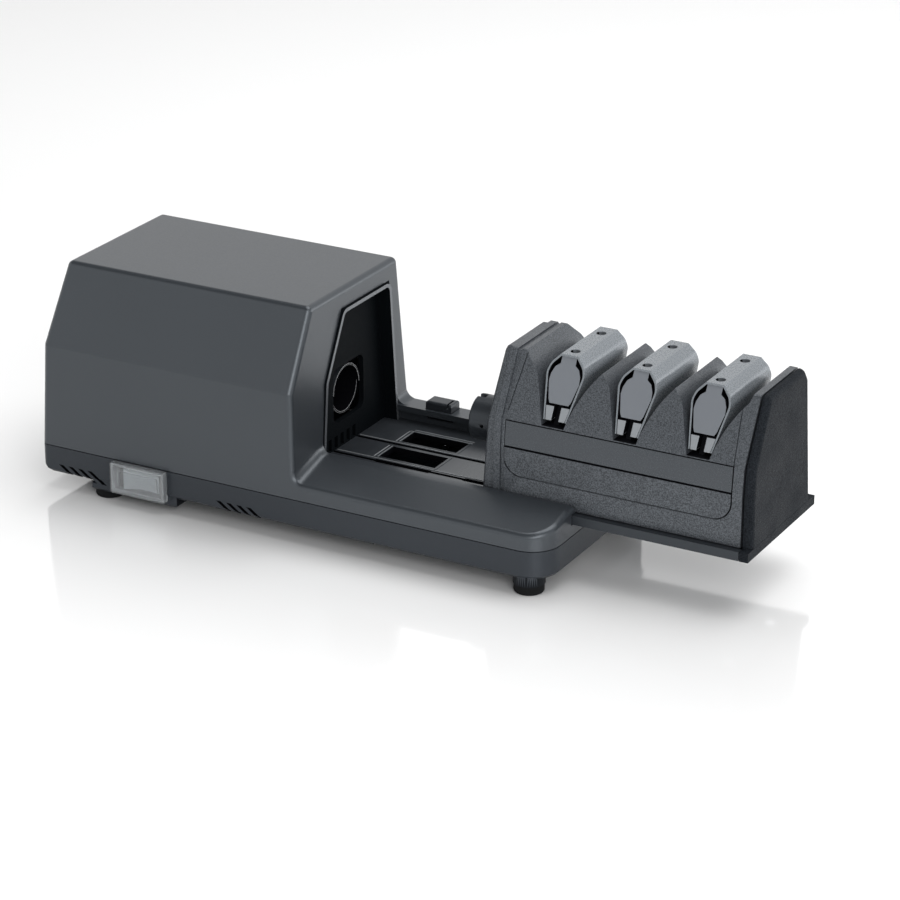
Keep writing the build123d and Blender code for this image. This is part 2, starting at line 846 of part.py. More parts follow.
def make_windings():
    rings = []
    for x_low, x_high in ((stator_left - winding_length, stator_left), (stator_right, stator_right + winding_length)):
        ring = x_rod(winding_outer_radius, x_low, x_high) - x_rod(winding_inner_radius, x_low - 1, x_high + 1)
        outer_end = x_low if x_low < stator_left else x_high
        ring = fillet(edges_between(ring, x=(outer_end - 0.1, outer_end + 0.1)), 3)
        rings.append(ring)
    return rings


def make_bracket(plate_left, toward_stator):
    """A bearing bracket: plate, boss, four legs to the stator and a foot on the base."""
    half = bracket_side / 2
    plate = box(
        plate_left, plate_left + bracket_thickness, axis_y - half, axis_y + half, axis_z - half, axis_z + half
    )
    plate = fillet(plate.edges().filter_by(Axis.X), 6)
    boss_middle = plate_left + bracket_thickness / 2
    boss = x_rod(bush_radius + 2.4, boss_middle - bush_length / 2, boss_middle + bush_length / 2)
    bracket = plate + boss - x_rod(bush_radius, plate_left - 20, plate_left + 20)
    for index in range(4):
        angle = math.radians(90 * index)
        y = axis_y + bracket_window_place * math.cos(angle)
        z = axis_z + bracket_window_place * math.sin(angle)
        bracket -= x_rod(bracket_window_radius, plate_left - 1, plate_left + bracket_thickness + 1, y, z)
    legs_low = plate_left + bracket_thickness if toward_stator > 0 else stator_right
    legs_high = stator_left if toward_stator > 0 else plate_left
    for y, z in bolt_corners():
        bracket += x_rod(motor_bolt_radius + 1.8, legs_low, legs_high, y, z)
        bracket -= x_rod(motor_bolt_radius + 0.1, left_bracket - 1, right_bracket + bracket_thickness + 1, y, z)
    foot_y = (axis_y - motor_foot_width / 2, axis_y + motor_foot_width / 2)
    bracket += box(plate_left, plate_left + bracket_thickness, *foot_y, motor_foot_height, axis_z - half + 1)
    if toward_stator > 0:
        foot_x = (plate_left + bracket_thickness - motor_foot_length, plate_left + bracket_thickness)
    else:
        foot_x = (plate_left, plate_left + motor_foot_length)
    bracket += box(*foot_x, *foot_y, motor_foot_height, motor_foot_height + motor_foot_thickness)
    for x, y in motor_post_places():
        bracket -= z_rod(1.9, motor_foot_height - 1, motor_foot_height + motor_foot_thickness + 1, x, y)
    return bracket


def make_motor_bushes():
    bushes = []
    for plate_left in (left_bracket, right_bracket):
        middle = plate_left + bracket_thickness / 2
        bush = x_rod(bush_radius, middle - bush_length / 2, middle + bush_length / 2)
        bushes.append(bush - x_rod(shaft_radius + shaft_fit, middle - 20, middle + 20))
    return bushes


def make_motor_bolts():
    bolts = []
    nut = 3.2
    for y, z in bolt_corners():
        shank = x_rod(motor_bolt_radius, left_bracket - 1, right_bracket + bracket_thickness + nut, y, z)
        head = x_rod(3.4, left_bracket - 2.6, left_bracket, y, z)
        end_nut = x_rod(3.6, right_bracket + bracket_thickness, right_bracket + bracket_thickness + nut, y, z)
        bolts.append(shank + head + end_nut)
    return bolts


def make_grommets():
    rings = []
    for x, y in motor_post_places():
        ring = z_rod(motor_post_radius, motor_foot_height - grommet_height, motor_foot_height, x, y)
        rings.append(ring - z_rod(1.9, 0, 40, x, y))
    return rings


def make_motor_screws():
    screws = []
    seat = motor_foot_height + motor_foot_thickness
    for x, y in motor_post_places():
        screws.append(z_rod(1.4, shell_floor + 0.5, seat, x, y) + z_rod(3.0, seat, seat + 2.0, x, y))
    return screws


def make_motor_shaft():
    return x_rod(shaft_radius, fan_left() - 2, cup_bottom)


def fan_left():
    return left_bracket + bracket_thickness / 2 - bush_length / 2 - 2.5 - fan_width


def make_rotor_core():
    core = x_rod(rotor_radius, stator_left, stator_right)
    rings = x_rod(rotor_radius - 1.5, stator_left - 4, stator_right + 4)
    return core + rings - x_rod(shaft_radius, stator_left - 10, stator_right + 10)


def make_fan():
    left = fan_left()
    fan = x_rod(fan_radius, left + fan_width - 1.6, left + fan_width) + x_rod(8, left, left + fan_width)
    for index in range(fan_blades):
        blade = box(
            left, left + fan_width - 1.6, axis_y + blade_inner - 4, axis_y + fan_radius - 0.5, axis_z - 0.7, axis_z + 0.7
        )
        fan += Pos(0, axis_y, axis_z) * Rot(360 / fan_blades * index, 0, 0) * Pos(0, -axis_y, -axis_z) * blade
    return fan - x_rod(shaft_radius, left - 5, left + fan_width + 5)


def make_drive_cup():
    cup = x_rod(cup_outer_radius, cup_web_left, cup_rim_x)
    cup -= x_rod(cup_inner_radius, cup_bottom, cup_rim_x + 5)
    raised = x_rod(cup_outer_radius, cup_rim_x, cup_rim_x + rim_step)
    raised -= x_rod(cup_inner_radius, cup_rim_x - 1, cup_rim_x + rim_step + 1)
    upper = box(
        cup_bottom, housing_length, axis_y - cup_outer_radius, axis_y + cup_outer_radius, axis_z,
        axis_z + cup_outer_radius,
    )
    cup += raised & upper
    key = box(
        cup_bottom,
        cup_bottom + key_height,
        axis_y - key_thickness / 2,
        axis_y + key_thickness / 2,
        axis_z - cup_inner_radius,
        axis_z + cup_inner_radius,
    )
    cup += key & x_rod(cup_inner_radius + 0.2, cup_bottom, cup_rim_x)
    return cup - x_rod(shaft_radius, 0, cup_bottom)


# ---- sharpening module ----
def module_section(top=None):
    top = module_top if top is None else top
    return [
        (module_front, frame_bottom),
        (module_front + 0.15, band_bottom),
        module_kink,
        (module_top_front, top),
        (module_top_back, top),
        (module_back - 5.0, module_top - 5.5),
        (module_back, frame_bottom),
    ]


def end_plate_section():
    """The inner end plate's outline, kept clear of the niche by its inset."""
    lift = end_plate_inset
    return [
        (module_front + lift, lip_bottom),
        (module_kink[0] + 1.5 + lift, module_kink[1] - 3.0),
        (module_top_front + 1.4 + lift, end_plate_top - 1.2),
        (module_top_front + 3.2 + lift, end_plate_top),
        (module_top_back - lift, end_plate_top),
        (module_back - 5.0 - lift, end_plate_top - 6.0),
        (module_back - lift, lip_bottom),
    ]


def slot_cutter(centre):
    """The V between two fins: straight on the motor side, hollow-curved on the other."""
    top = module_top + 3
    left_slope = (slot_knee_half - slot_half_width) / (slot_knee_z - slot_floor)
    apex = stage_pitch / 2
    left_top = apex + (top - fin_top) * 0.9
    outline = (
        Polyline(
            (centre + slot_half_width, slot_floor),
            (centre - slot_half_width, slot_floor),
            (centre - slot_half_width - left_slope * (slot_knee_z - slot_floor), slot_knee_z),
            (centre - left_top, top),
            (centre + apex + 2.2, top),
            (centre + apex, fin_top),
        )
        + ThreePointArc(
            (centre + apex, fin_top),
            (centre + fin_bulge_half, fin_bulge_z),
            (centre + slot_half_width, slot_floor),
        )
    )
    section = Plane.XZ.offset(-(base_depth + 10)) * make_face(outline)
    return extrude(section, amount=base_depth + 20)


def make_module_frame():
    frame = yz_prism(module_section(), frame_left, frame_right)
    crest = edges_between(frame, z=(module_top - 1, module_top + 1))
    crest = [edge for edge in crest if abs((edge @ 0).X - (edge @ 1).X) > 20]
    frame = fillet(crest, 2.2)
    for centre in stage_centres():
        frame -= slot_cutter(centre)
    fins_left = stage_centres()[0]
    fins_right = stage_centres()[-1]
    frame -= box(fins_left, fins_right, 0, base_depth, fin_top, module_top + 5)

    inside = box(
        frame_left + module_wall,
        frame_right - module_wall,
        module_front + module_wall + panel_depth,
        module_back - module_wall - 3.5,
        frame_bottom - 1,
        chamber_roof,
    )
    frame -= inside
    for centre in stage_centres():
        frame -= box(
            centre - slot_half_width,
            centre + slot_half_width,
            chamber_front,
            chamber_back,
            chamber_roof - 1,
            slot_floor + 1,
        )
    frame -= front_recess(0.0)
    frame -= frame_grooves()
    for end_x in (frame_left, frame_right - module_wall):
        boss = x_rod(bush_radius + 2.4, end_x, end_x + module_wall + 2.4)
        if end_x > frame_left:
            boss = x_rod(bush_radius + 2.4, end_x - 2.4, end_x + module_wall)
        hole = shaft_radius + 1.0 if end_x == frame_left else bush_radius
        frame += boss
        frame -= x_rod(hole, end_x - 8, end_x + 8)
    for x, y in module_screw_places():
        frame += z_rod(3.6, frame_bottom, chamber_roof + 1, x, y)
        frame -= z_rod(1.3, frame_bottom - 1, frame_bottom + 10, x, y)
    return frame


def panel_outline(margin):
    """The front panel's outline with its two large lower corners, as an (x, z) face."""
    left = frame_left + panel_left - end_plate_thickness + margin
    right = frame_right - panel_right - margin
    low = panel_bottom + margin
    return left, right, low


def front_recess(margin):
    left, right, low = panel_outline(margin)
    deep = module_kink[0] + panel_depth
    block = box(left, right, module_front - 2, deep, low, module_kink[1] - margin)
    corners = [edge for edge in block.edges().filter_by(Axis.Y) if (edge @ 0.5).Z < low + 1]
    return fillet(corners, panel_corner_radius - margin)


def frame_grooves():
    """Shallow parting grooves that carry the panel's sides up the sloping front."""
    left, right, low = panel_outline(0)
    depth = 0.7
    band = 0.5
    rise = module_top - module_kink[1]
    grooves = None
    for x, drift in ((left, 3.6), (right - band, -2.6)):
        corners = [
            (x, module_kink[1] - 0.5),
            (x + band, module_kink[1] - 0.5),
            (x + band + drift, module_kink[1] + rise),
            (x + drift, module_kink[1] + rise),
        ]
        strip = xz_prism(corners, 0, base_depth)
        skin = yz_prism(module_section(), frame_left, frame_right, grow=1.0)
        skin -= yz_prism(module_section(), frame_left - 1, frame_right + 1, grow=-depth)
        front_half = box(frame_left, frame_right, 0, module_top_front + 2, module_kink[1] - 0.5, module_top + 2)
        cut = strip & skin & front_half
        grooves = cut if grooves is None else grooves + cut
    rib = yz_prism(module_section(), frame_left + 3.2, frame_left + 5.2, grow=2.0)
    rib -= yz_prism(module_section(), frame_left + 3.0, frame_left + 5.4, grow=-0.8)
    above_lips = box(frame_left, frame_right, 0, base_depth, frame_bottom - 1, module_top + 5)
    return grooves + (rib & above_lips)


def make_front_panel():
    panel = front_recess(panel_gap)
    face = box(0, base_length * 2, 0, base_depth, 0, band_bottom - panel_gap / 2)
    panel &= face
    return panel & yz_prism(module_section(), frame_left, frame_right)


def make_stage_band():
    band = front_recess(panel_gap)
    band &= box(0, base_length * 2, 0, base_depth, band_bottom + panel_gap / 2, module_top)
    return band & yz_prism(module_section(), frame_left, frame_right, grow=-0.25)


def make_inner_end_plate():
    plate = yz_prism(end_plate_section(), module_left, frame_left)
    draft = [
        (module_left - 1, lip_bottom - 1),
        (module_left, lip_bottom),
        (module_left + end_plate_draft, end_plate_top),
        (module_left + end_plate_draft, end_plate_top + 2),
        (module_left - 1, end_plate_top + 2),
    ]
    plate -= xz_prism(draft, 0, base_depth)
    rim = edges_between(plate, x=(module_left - 0.1, module_left + end_plate_draft + 0.1))
    rim = [edge for edge in rim if (edge @ 0.5).Z > lip_bottom + 1]
    plate = fillet(rim, 1.8)
    plate -= x_rod(bush_radius, module_left - 5, frame_left + 5)
    return plate


def make_outer_end_plate():
    """The rounded cap on the module's free end, with a foot as wide as the lips."""
    left = module_right - outer_plate_thickness
    outline = [(y, lip_bottom if z == frame_bottom else z) for y, z in module_section()]
    plate = yz_prism(outline, left, module_right)
    draft = [
        (module_right + 1, lip_bottom - 1),
        (module_right, lip_bottom),
        (module_right - outer_plate_draft * 0.75, module_top),
        (module_right - outer_plate_draft * 0.75, module_top + 2),
        (module_right + 1, module_top + 2),
    ]
    plate -= xz_prism(draft, 0, base_depth)
    crest = [edge for edge in plate.edges() if abs((edge @ 0).X - (edge @ 1).X) > outer_plate_thickness / 2
             and (edge @ 0.5).Z > module_kink[1] + 5]
    plate = fillet(crest, outer_plate_corner_radius)
    rim = [edge for edge in plate.edges() if (edge @ 0.5).X > module_right - outer_plate_draft
           and (edge @ 0.5).Z > lip_bottom + 0.5]
    plate = fillet(rim, outer_plate_edge_radius)
    plate += box(left, module_right, front_lip, back_lip, lip_bottom, lip_top)
    plug = yz_prism(module_section(), frame_right, left, grow=-module_wall)
    plug -= box(0, module_right, 0, base_depth, 0, frame_bottom + module_wall)
    return plate + plug


def make_module_base():
    """The filings tray that closes the module's underside; its raised edges are the lips."""
    right = module_right - outer_plate_thickness - 0.25
    tray = box(module_left + lip_set_back, right, front_lip, back_lip, lip_bottom, module_base_top)
    for y_low, y_high in ((front_lip, front_rail_inner + 0.3), (back_rail_inner - 1.2, back_lip)):
        tray += box(module_left + lip_set_back, right, y_low, y_high, lip_bottom, lip_top)
    tray -= box(
        module_left + 3, frame_left + 0.1, module_front, module_back, lip_bottom - 1, lip_top + 1
    )
    tray -= box(
        catch_left + module_out - catch_gap,
        catch_left + module_out + catch_length + catch_gap,
        catch_low_y - catch_gap,
        back_lip + 1,
        lip_bottom - 1,
        lip_top + 1,
    )
    for x, y in module_screw_places():
        tray += z_rod(3.6, lip_bottom, frame_bottom, x, y)
        tray -= z_rod(1.6, lip_bottom - 1, frame_bottom + 1, x, y)
        tray -= z_rod(2.9, lip_bottom - 1, lip_bottom + 1.5, x, y)
    return tray


def module_screw_places():
    xs = (frame_left + 7.0, frame_right - 7.0)
    ys = (module_front + 9.0, module_back - 10.5)
    return [(x, y) for x in xs for y in ys]


def make_module_screws():
    screws = []
    for x, y in module_screw_places():
        seat = lip_bottom + 1.5
        head = z_rod(2.6, seat - 1.3, seat, x, y)
        screws.append(head + z_rod(1.3, seat, frame_bottom + 9, x, y))
    return screws


def make_filings_magnet():
    middle = (stage_centres()[0] + stage_centres()[-1]) / 2
    bar = box(middle - 40, middle + 40, axis_y - 6, axis_y + 6, module_base_top, module_base_top + 2.5)
    return chamfer(bar.edges().filter_by(Axis.Z), 1)


def make_spindle_bushes():
    inner = x_rod(bush_radius, module_left + 1.6, frame_left)
    outer = x_rod(bush_radius, frame_right - module_wall - 2.4, frame_right)
    hole = x_rod(shaft_radius + shaft_fit, module_left - 5, module_right)
    return [inner - hole, outer - hole]


# ---- knife guides ----
def spring_outline(thickness):
    """Half outline points of the guide spring, outer or inner, from the crown to the toe."""
    return (
        (spring_top_half - thickness * 0.4, spring_top - thickness),
        (spring_shoulder_half - 1.3 - thickness * 0.8, spring_shoulder_height + 3.7 - thickness * 0.7),
        (spring_shoulder_half - thickness, spring_shoulder_height),
        (spring_toe_half - thickness, spring_toe_height),
    )


def half_face(centre, side, thickness):
    crown, bend, shoulder, toe = spring_outline(thickness)
    return [(centre + side * x, z) for x, z in (crown, bend, shoulder, toe)]


def guide_length_cut(solid, set_back):
    """Trim a guide piece to the sloping front and the drafted back of the module."""
    front_low = module_kink[0] + set_back
    back_top = module_top_back + 2.0 - set_back
    side = [
        (front_low + incline * (slot_floor - module_kink[1]), slot_floor),
        (front_low + incline * (spring_top - module_kink[1]), spring_top),
        (back_top, spring_top),
        (back_top + 3.0, slot_floor),
    ]
    return solid & yz_prism(side, module_left, module_right)


def guide_screw_ys():
    front = module_kink[0] + guide_set_back + incline * (spring_top - module_kink[1])
    return (front + guide_front_screw_inset, module_top_back + 2.0 - guide_set_back - guide_back_screw_inset)


def make_guide_spring(centre):
    outer = half_face(centre, -1, 0)[::-1] + half_face(centre, 1, 0)
    inner = half_face(centre, -1, spring_band)[::-1] + half_face(centre, 1, spring_band)
    inner = [(inner[0][0], spring_toe_height - 1)] + inner[1:-1] + [(inner[-1][0], spring_toe_height - 1)]
    spring = xz_prism(outer, 0, base_depth)
    shoulders = [edge for edge in spring.edges().filter_by(Axis.Y)
                 if spring_shoulder_height - 0.5 < (edge @ 0.5).Z < spring_top - 1]
    spring = fillet(shoulders, spring_shoulder_radius)
    hollow = xz_prism(inner, -1, base_depth + 1)
    shoulders = [edge for edge in hollow.edges().filter_by(Axis.Y)
                 if spring_shoulder_height - 0.5 < (edge @ 0.5).Z < spring_top - spring_band - 1]
    spring -= fillet(shoulders, spring_shoulder_radius - spring_band)
    for y in guide_screw_ys():
        spring -= z_rod(guide_hole_radius, spring_top - spring_band - 1, spring_top + 1, centre, y)
    return guide_length_cut(spring, guide_set_back)


def make_toe_blocks(centre):
    """The pads moulded on the inside of the guide spring's two toes."""
    slope = (spring_shoulder_half - spring_toe_half) / (spring_shoulder_height - spring_toe_height)
    outer_low = spring_toe_half - spring_band
    outer_high = outer_low + slope * (toe_block_top - spring_toe_height)
    blocks = []
    for side in (-1, 1):
        corners = [
            (centre + side * toe_block_inner, spring_toe_height),
            (centre + side * outer_low, spring_toe_height),
            (centre + side * outer_high, toe_block_top),
            (centre + side * toe_block_inner, toe_block_top),
        ]
        blocks.append(guide_length_cut(xz_prism(corners, 0, base_depth), guide_set_back))
    return blocks


def make_guide_core(centre):
    """The bar that carries the guide spring, standing on a post at each end."""
    neck_half = spring_outline(spring_band)[0][0] - core_neck_clearance
    half = [
        (neck_half, spring_top - spring_band),
        (neck_half, spring_top - spring_band - core_neck_depth),
        (core_half - 1.6, spring_shoulder_height + 2.2),
        (core_half - 0.3, spring_shoulder_height - 0.6),
        (core_half, spring_shoulder_height - 3.4),
        (core_bottom_half + 0.9, core_bottom + 1.6),
        (core_bottom_half, core_bottom),
    ]
    outline = [(centre + x, z) for x, z in half] + [(centre - x, z) for x, z in half[::-1]]
    core = xz_prism(outline, 0, base_depth)
    round_over = [edge for edge in core.edges().filter_by(Axis.Y)
                  if core_bottom + 0.5 < (edge @ 0.5).Z < spring_shoulder_height + 3]
    core = fillet(round_over, 1.2)
    core = guide_length_cut(core, guide_set_back + 0.4)
    post = box(centre - guide_post_half, centre + guide_post_half, 0, base_depth, slot_floor, core_bottom + 1)
    post = guide_length_cut(post, guide_set_back + guide_post_set_back)
    gap_low = module_kink[0] + guide_set_back + guide_post_depth
    gap_high = module_top_back + 3.0 - guide_post_depth
    core += post - box(centre - 5, centre + 5, gap_low, gap_high, slot_floor - 1, core_bottom)
    for y in guide_screw_ys():
        core -= z_rod(guide_screw_radius, core_bottom + 3, spring_top, centre, y)
        core -= z_rod(guide_hole_radius, spring_top - spring_band - guide_head_depth, spring_top, centre, y)
    return core


def make_guide_screws():
    screws = []
    head_low = spring_top - spring_band - guide_head_depth
    for centre in stage_centres():
        for y in guide_screw_ys():
            head = z_rod(guide_hole_radius - 0.1, head_low, head_low + 1.2, centre, y)
            head -= box(centre - 1.1, centre + 1.1, y - 0.3, y + 0.3, head_low + 0.6, head_low + 2)
            screws.append(head + z_rod(guide_screw_radius, core_bottom + 3.5, head_low, centre, y))
    return screws


# ---- spindle ----
def make_spindle_shaft():
    shaft = x_rod(shaft_radius, hub_left + key_height + 2.0, spindle_end)
    for pin in make_drive_pins():
        shaft -= pin
    return shaft


def make_driven_hub():
    hub = x_rod(hub_radius, hub_left, hub_right)
    ends = edges_between(hub, x=(hub_left - 0.1, hub_left + 0.1))
    hub = fillet(ends, 1.0)
    slot_half = key_thickness / 2 + key_slot_clearance
    hub -= box(
        hub_left - 1, hub_left + key_height + 0.4, axis_y - slot_half, axis_y + slot_half, axis_z - 20, axis_z + 20
    )
    hub -= x_rod(shaft_radius, hub_left + key_height + 2.0, hub_right + 1)
    return hub - y_rod(0.9, axis_y - hub_radius - 1, axis_y - shaft_radius - 0.5, hub_left + 7.0, axis_z)


def make_disc_pair(centre):
    """Two dished abrasive discs that face the two knife slots of one stage."""
    discs = []
    for side in (-1, 1):
        profile = [
            (centre + side * disc_inner_face, shaft_radius + disc_bore_clearance),
            (centre + side * collar_end, shaft_radius + disc_bore_clearance),
            (centre + side * collar_end, collar_radius),
            (centre + side * disc_inner_face, collar_radius),
            (centre + side * disc_inner_face, disc_radius),
            (centre + side * (disc_inner_face + disc_rim_thickness), disc_radius),
            (centre + side * disc_outer_face, disc_radius - 5.0),
            (centre + side * disc_outer_face, shaft_radius + disc_bore_clearance),
        ]
        face = make_face(Polyline(*profile, close=True))
        disc = revolve(face, axis=Axis.X)
        slot = Box(4 * disc_inner_face, 2 * pin_radius + 0.3, 2 * pin_half_length + 0.6)
        collar = x_rod(collar_radius + 1, centre - disc_inner_face, centre + disc_inner_face, 0, 0)
        disc -= Pos(centre, 0, 0) * slot & collar
        discs.append(Pos(0, axis_y, axis_z) * disc)
    return discs


def make_disc_springs():
    springs = []
    span = 2 * disc_inner_face - spring_wire - 0.1
    for centre in stage_centres():
        path = Helix(pitch=span / 2, height=span, radius=disc_spring_radius)
        start = path @ 0
        section = Plane(origin=start, z_dir=path % 0) * Circle(spring_wire / 2)
        coil = sweep(section, path=path, is_frenet=True)
        springs.append(Pos(centre - span / 2, axis_y, axis_z) * Rot(0, 90, 0) * coil)
    return springs


def make_drive_pins():
    pins = []
    for centre in stage_centres():
        pins.append(z_rod(pin_radius, axis_z - pin_half_length, axis_z + pin_half_length, centre, axis_y))
    return pins


# ---- switch ----
def make_switch_cover():
    half = switch_cover_length / 2
    high = switch_low_z + switch_cover_height
    cover = box(switch_centre_x - half, switch_centre_x + half, -switch_cover_proud, 0, switch_low_z, high)
    front = [edge for edge in cover.edges() if (edge @ 0.5).Y < -switch_cover_proud + 0.1]
    cover = chamfer(front, 0.9)
    wall = switch_cover_wall
    cover -= box(
        switch_centre_x - half + wall + 1.2,
        switch_centre_x + half - wall - 1.2,
        -switch_cover_proud + wall,
        1,
        switch_low_z + wall + 0.6,
        high - wall - 0.6,
    )
    return cover


def make_switch_body():
    half = switch_body_length / 2
    low = switch_centre_z - switch_body_height / 2
    high = switch_centre_z + switch_body_height / 2
    rear_low = shell_floor + switch_rear_drop
    body = box(switch_centre_x - half, switch_centre_x + half, 0, switch_front_depth, low, high)
    body += box(switch_centre_x - half, switch_centre_x + half, 1, switch_body_depth, rear_low, high)
    well_half = rocker_half + 1.7
    well_z = rocker_height / 2 + rocker_side_gap / 2
    body -= box(
        switch_centre_x - well_half,
        switch_centre_x + well_half,
        -1,
        rocker_pivot_depth + 5.0,
        switch_centre_z - well_z,
        switch_centre_z + well_z,
    )
    body -= z_rod(
        rocker_pin_radius + 0.06, low - 0.5, high + 0.5, switch_centre_x, rocker_pivot_depth
    )
    for x in (-8, 0, 8):
        body += box(
            switch_centre_x + x - 2.4,
            switch_centre_x + x + 2.4,
            switch_body_depth - 0.5,
            switch_body_depth + 7,
            (rear_low + high) / 2 - 0.4,
            (rear_low + high) / 2 + 0.4,
        )
    return body


def make_rocker():
    outline = [
        (-rocker_half, -rocker_reach),
        (0, -rocker_valley),
        (rocker_half, -rocker_reach),
        (rocker_half - 0.6, -1.0),
        (3.0, 2.6),
        (-3.0, 2.6),
        (-rocker_half + 0.6, -1.0),
    ]
    low = switch_centre_z - rocker_height / 2
    rocker = xy_prism(outline, low, low + rocker_height)
    tips = edges_between(rocker, y=(-rocker_reach - 0.1, -rocker_reach + 0.1), z=(low + 1, low + 5.1))
    rocker = fillet(tips, 0.8)
    pin_low = switch_centre_z - switch_body_height / 2
    rocker += z_rod(rocker_pin_radius, pin_low, pin_low + switch_body_height, 0, 0)
    return Pos(switch_centre_x, rocker_pivot_depth, 0) * Rot(0, 0, rocker_tilt) * rocker


# ---- release catch ----
def catch_stem_middle():
    return catch_left + catch_length / 2, (catch_stem_low_y + catch_high_y) / 2


def catch_spring_seat():
    x, y = catch_stem_middle()
    return z_rod(1.2, shell_floor - 0.5, shell_floor + 4.0, x, y)


def make_release_catch():
    right = catch_left + catch_length
    under_roof = rail_top - shell_wall - catch_gap
    key = box(catch_left, right, catch_low_y, catch_high_y, groove_top + catch_lift, catch_top)
    crown = [edge for edge in key.edges() if (edge @ 0.5).Z > catch_top - 0.1]
    key = fillet(crown, 1.2)
    key -= box(right - 2.6, right - 1.6, catch_low_y - 1, catch_high_y - 2.0, catch_top - 2.2, catch_top + 1)
    stem = box(catch_left + 1, right - 1, catch_stem_low_y, catch_high_y, floor_bottom, groove_top + 0.5)
    barbs = box(
        catch_left - catch_barb,
        right + catch_barb,
        catch_stem_low_y,
        catch_high_y,
        under_roof - 1.6,
        under_roof,
    )
    return key + stem + barbs


def make_catch_spring():
    x, y = catch_stem_middle()
    low = shell_floor + spring_wire / 2
    height = floor_bottom - low - spring_wire / 2 - 0.1
    path = Helix(pitch=height / 5, height=height, radius=catch_spring_radius)
    section = Plane(origin=path @ 0, z_dir=path % 0) * Circle(spring_wire / 2 - 0.1)
    return Pos(x, y, low) * sweep(section, path=path, is_frenet=True)


# ---- cord entry and electrics ----
def make_cord_gland():
    gland = y_rod(
        gland_radius, base_depth - shell_wall - gland_flange, base_depth + gland_proud, gland_x, gland_z
    )
    outer_rim = edges_between(gland, y=(base_depth + gland_proud - 0.1, base_depth + gland_proud + 0.1))
    gland = fillet(outer_rim, 1.4)
    for side in (0, 1):
        face_y = base_depth if side else base_depth - shell_wall - gland_flange
        gland += y_rod(gland_radius + gland_flange_reach, face_y, face_y + gland_flange, gland_x, gland_z)
    for index in range(2):
        ring_y = base_depth + gland_flange + 1.2 + index * 1.8
        ring = y_rod(gland_radius + 1, ring_y, ring_y + 0.7, gland_x, gland_z)
        gland -= ring - y_rod(gland_radius - 0.8, ring_y - 1, ring_y + 2, gland_x, gland_z)
    return gland - y_rod(gland_bore_radius, base_depth - 20, base_depth + 20, gland_x, gland_z)


def make_run_capacitor():
    left = switch_boss_right + notch_gap
    right = shell_screw_xs[1] - screw_boss_radius - capacitor_gap
    front = shell_wall + capacitor_wall_gap
    back = axis_y - stator_side / 2 - capacitor_motor_gap
    body = box(left, right, front, back, shell_floor, shell_floor + capacitor_height)
    return fillet(body.edges().filter_by(Axis.Z), 3)


def make_terminal_block():
    length, depth, height = terminal_block_size
    left = gland_x + gland_radius + 6
    back = base_depth - shell_wall - 4
    block = box(left, left + length, back - depth, back, shell_floor, shell_floor + height)
    for index in range(3):
        x = left + length * (index + 0.5) / 3
        block -= z_rod(1.8, shell_floor + height - 4, shell_floor + height + 1, x, back - depth / 2)
    return block


# ---- export ----
def build_parts():
    parts = {
        "upper_shell": make_upper_shell(),
        "niche_liner": make_niche_liner(),
        "bottom_shell": make_bottom_shell(),
        "rubber_feet": make_feet(),
        "shell_screws": make_shell_screws(),
        "motor_stator": make_stator(),
        "motor_windings": make_windings(),
        "motor_bracket_left": make_bracket(left_bracket, 1),
        "motor_bracket_right": make_bracket(right_bracket, -1),
        "motor_bushes": make_motor_bushes(),
        "motor_bolts": make_motor_bolts(),
        "motor_grommets": make_grommets(),
        "motor_screws": make_motor_screws(),
        "motor_shaft": make_motor_shaft(),
        "motor_rotor": make_rotor_core(),
        "cooling_fan": make_fan(),
        "drive_cup": make_drive_cup(),
        "switch_cover": make_switch_cover(),
        "switch_body": make_switch_body(),
        "switch_rocker": make_rocker(),
        "release_catch": make_release_catch(),
        "catch_spring": make_catch_spring(),
        "cord_gland": make_cord_gland(),
        "run_capacitor": make_run_capacitor(),
        "terminal_block": make_terminal_block(),
        "module_frame": make_module_frame(),
        "module_front_panel": make_front_panel(),
        "module_stage_band": make_stage_band(),
        "module_inner_end_plate": make_inner_end_plate(),
        "module_outer_end_plate": make_outer_end_plate(),
        "module_base": make_module_base(),
        "module_screws": make_module_screws(),
        "filings_magnet": make_filings_magnet(),
        "spindle_bushes": make_spindle_bushes(),
        "spindle_shaft": make_spindle_shaft(),
        "driven_hub": make_driven_hub(),
        "disc_springs": make_disc_springs(),
        "disc_drive_pins": make_drive_pins(),
        "guide_screws": make_guide_screws(),
    }
    for index, centre in enumerate(stage_centres(), start=1):
        parts[f"guide_spring_{index}"] = make_guide_spring(centre)
        parts[f"guide_toe_blocks_{index}"] = make_toe_blocks(centre)
        parts[f"guide_core_{index}"] = make_guide_core(centre)
        parts[f"abrasive_discs_{index}"] = make_disc_pair(centre)
    return parts


def export_parts():
    os.makedirs("parts", exist_ok=True)
    shift = Pos(-origin_x, -origin_y, 0)
    for name, made in build_parts().items():
        pieces = made if isinstance(made, list) else [made]
        solids = [shift * solid for piece in pieces for solid in piece.solids()]
        export_step(Compound(children=solids), f"parts/{name}.step")


export_parts()
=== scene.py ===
"""Looks for the electric knife sharpener: softened mouldings, finishes, floor, lamps and camera.

Places and widths on the sharpener are millimetres in its working frame: X runs from the motor end
to the open end of the base, Y from the front to the back and Z up from the floor. at() brings such
a point to the shared frame, whose origin is at the bottom centre of the whole object. Relief
depths, the floor, the lamps and the camera are metres in the shared frame.
"""
import json
import math

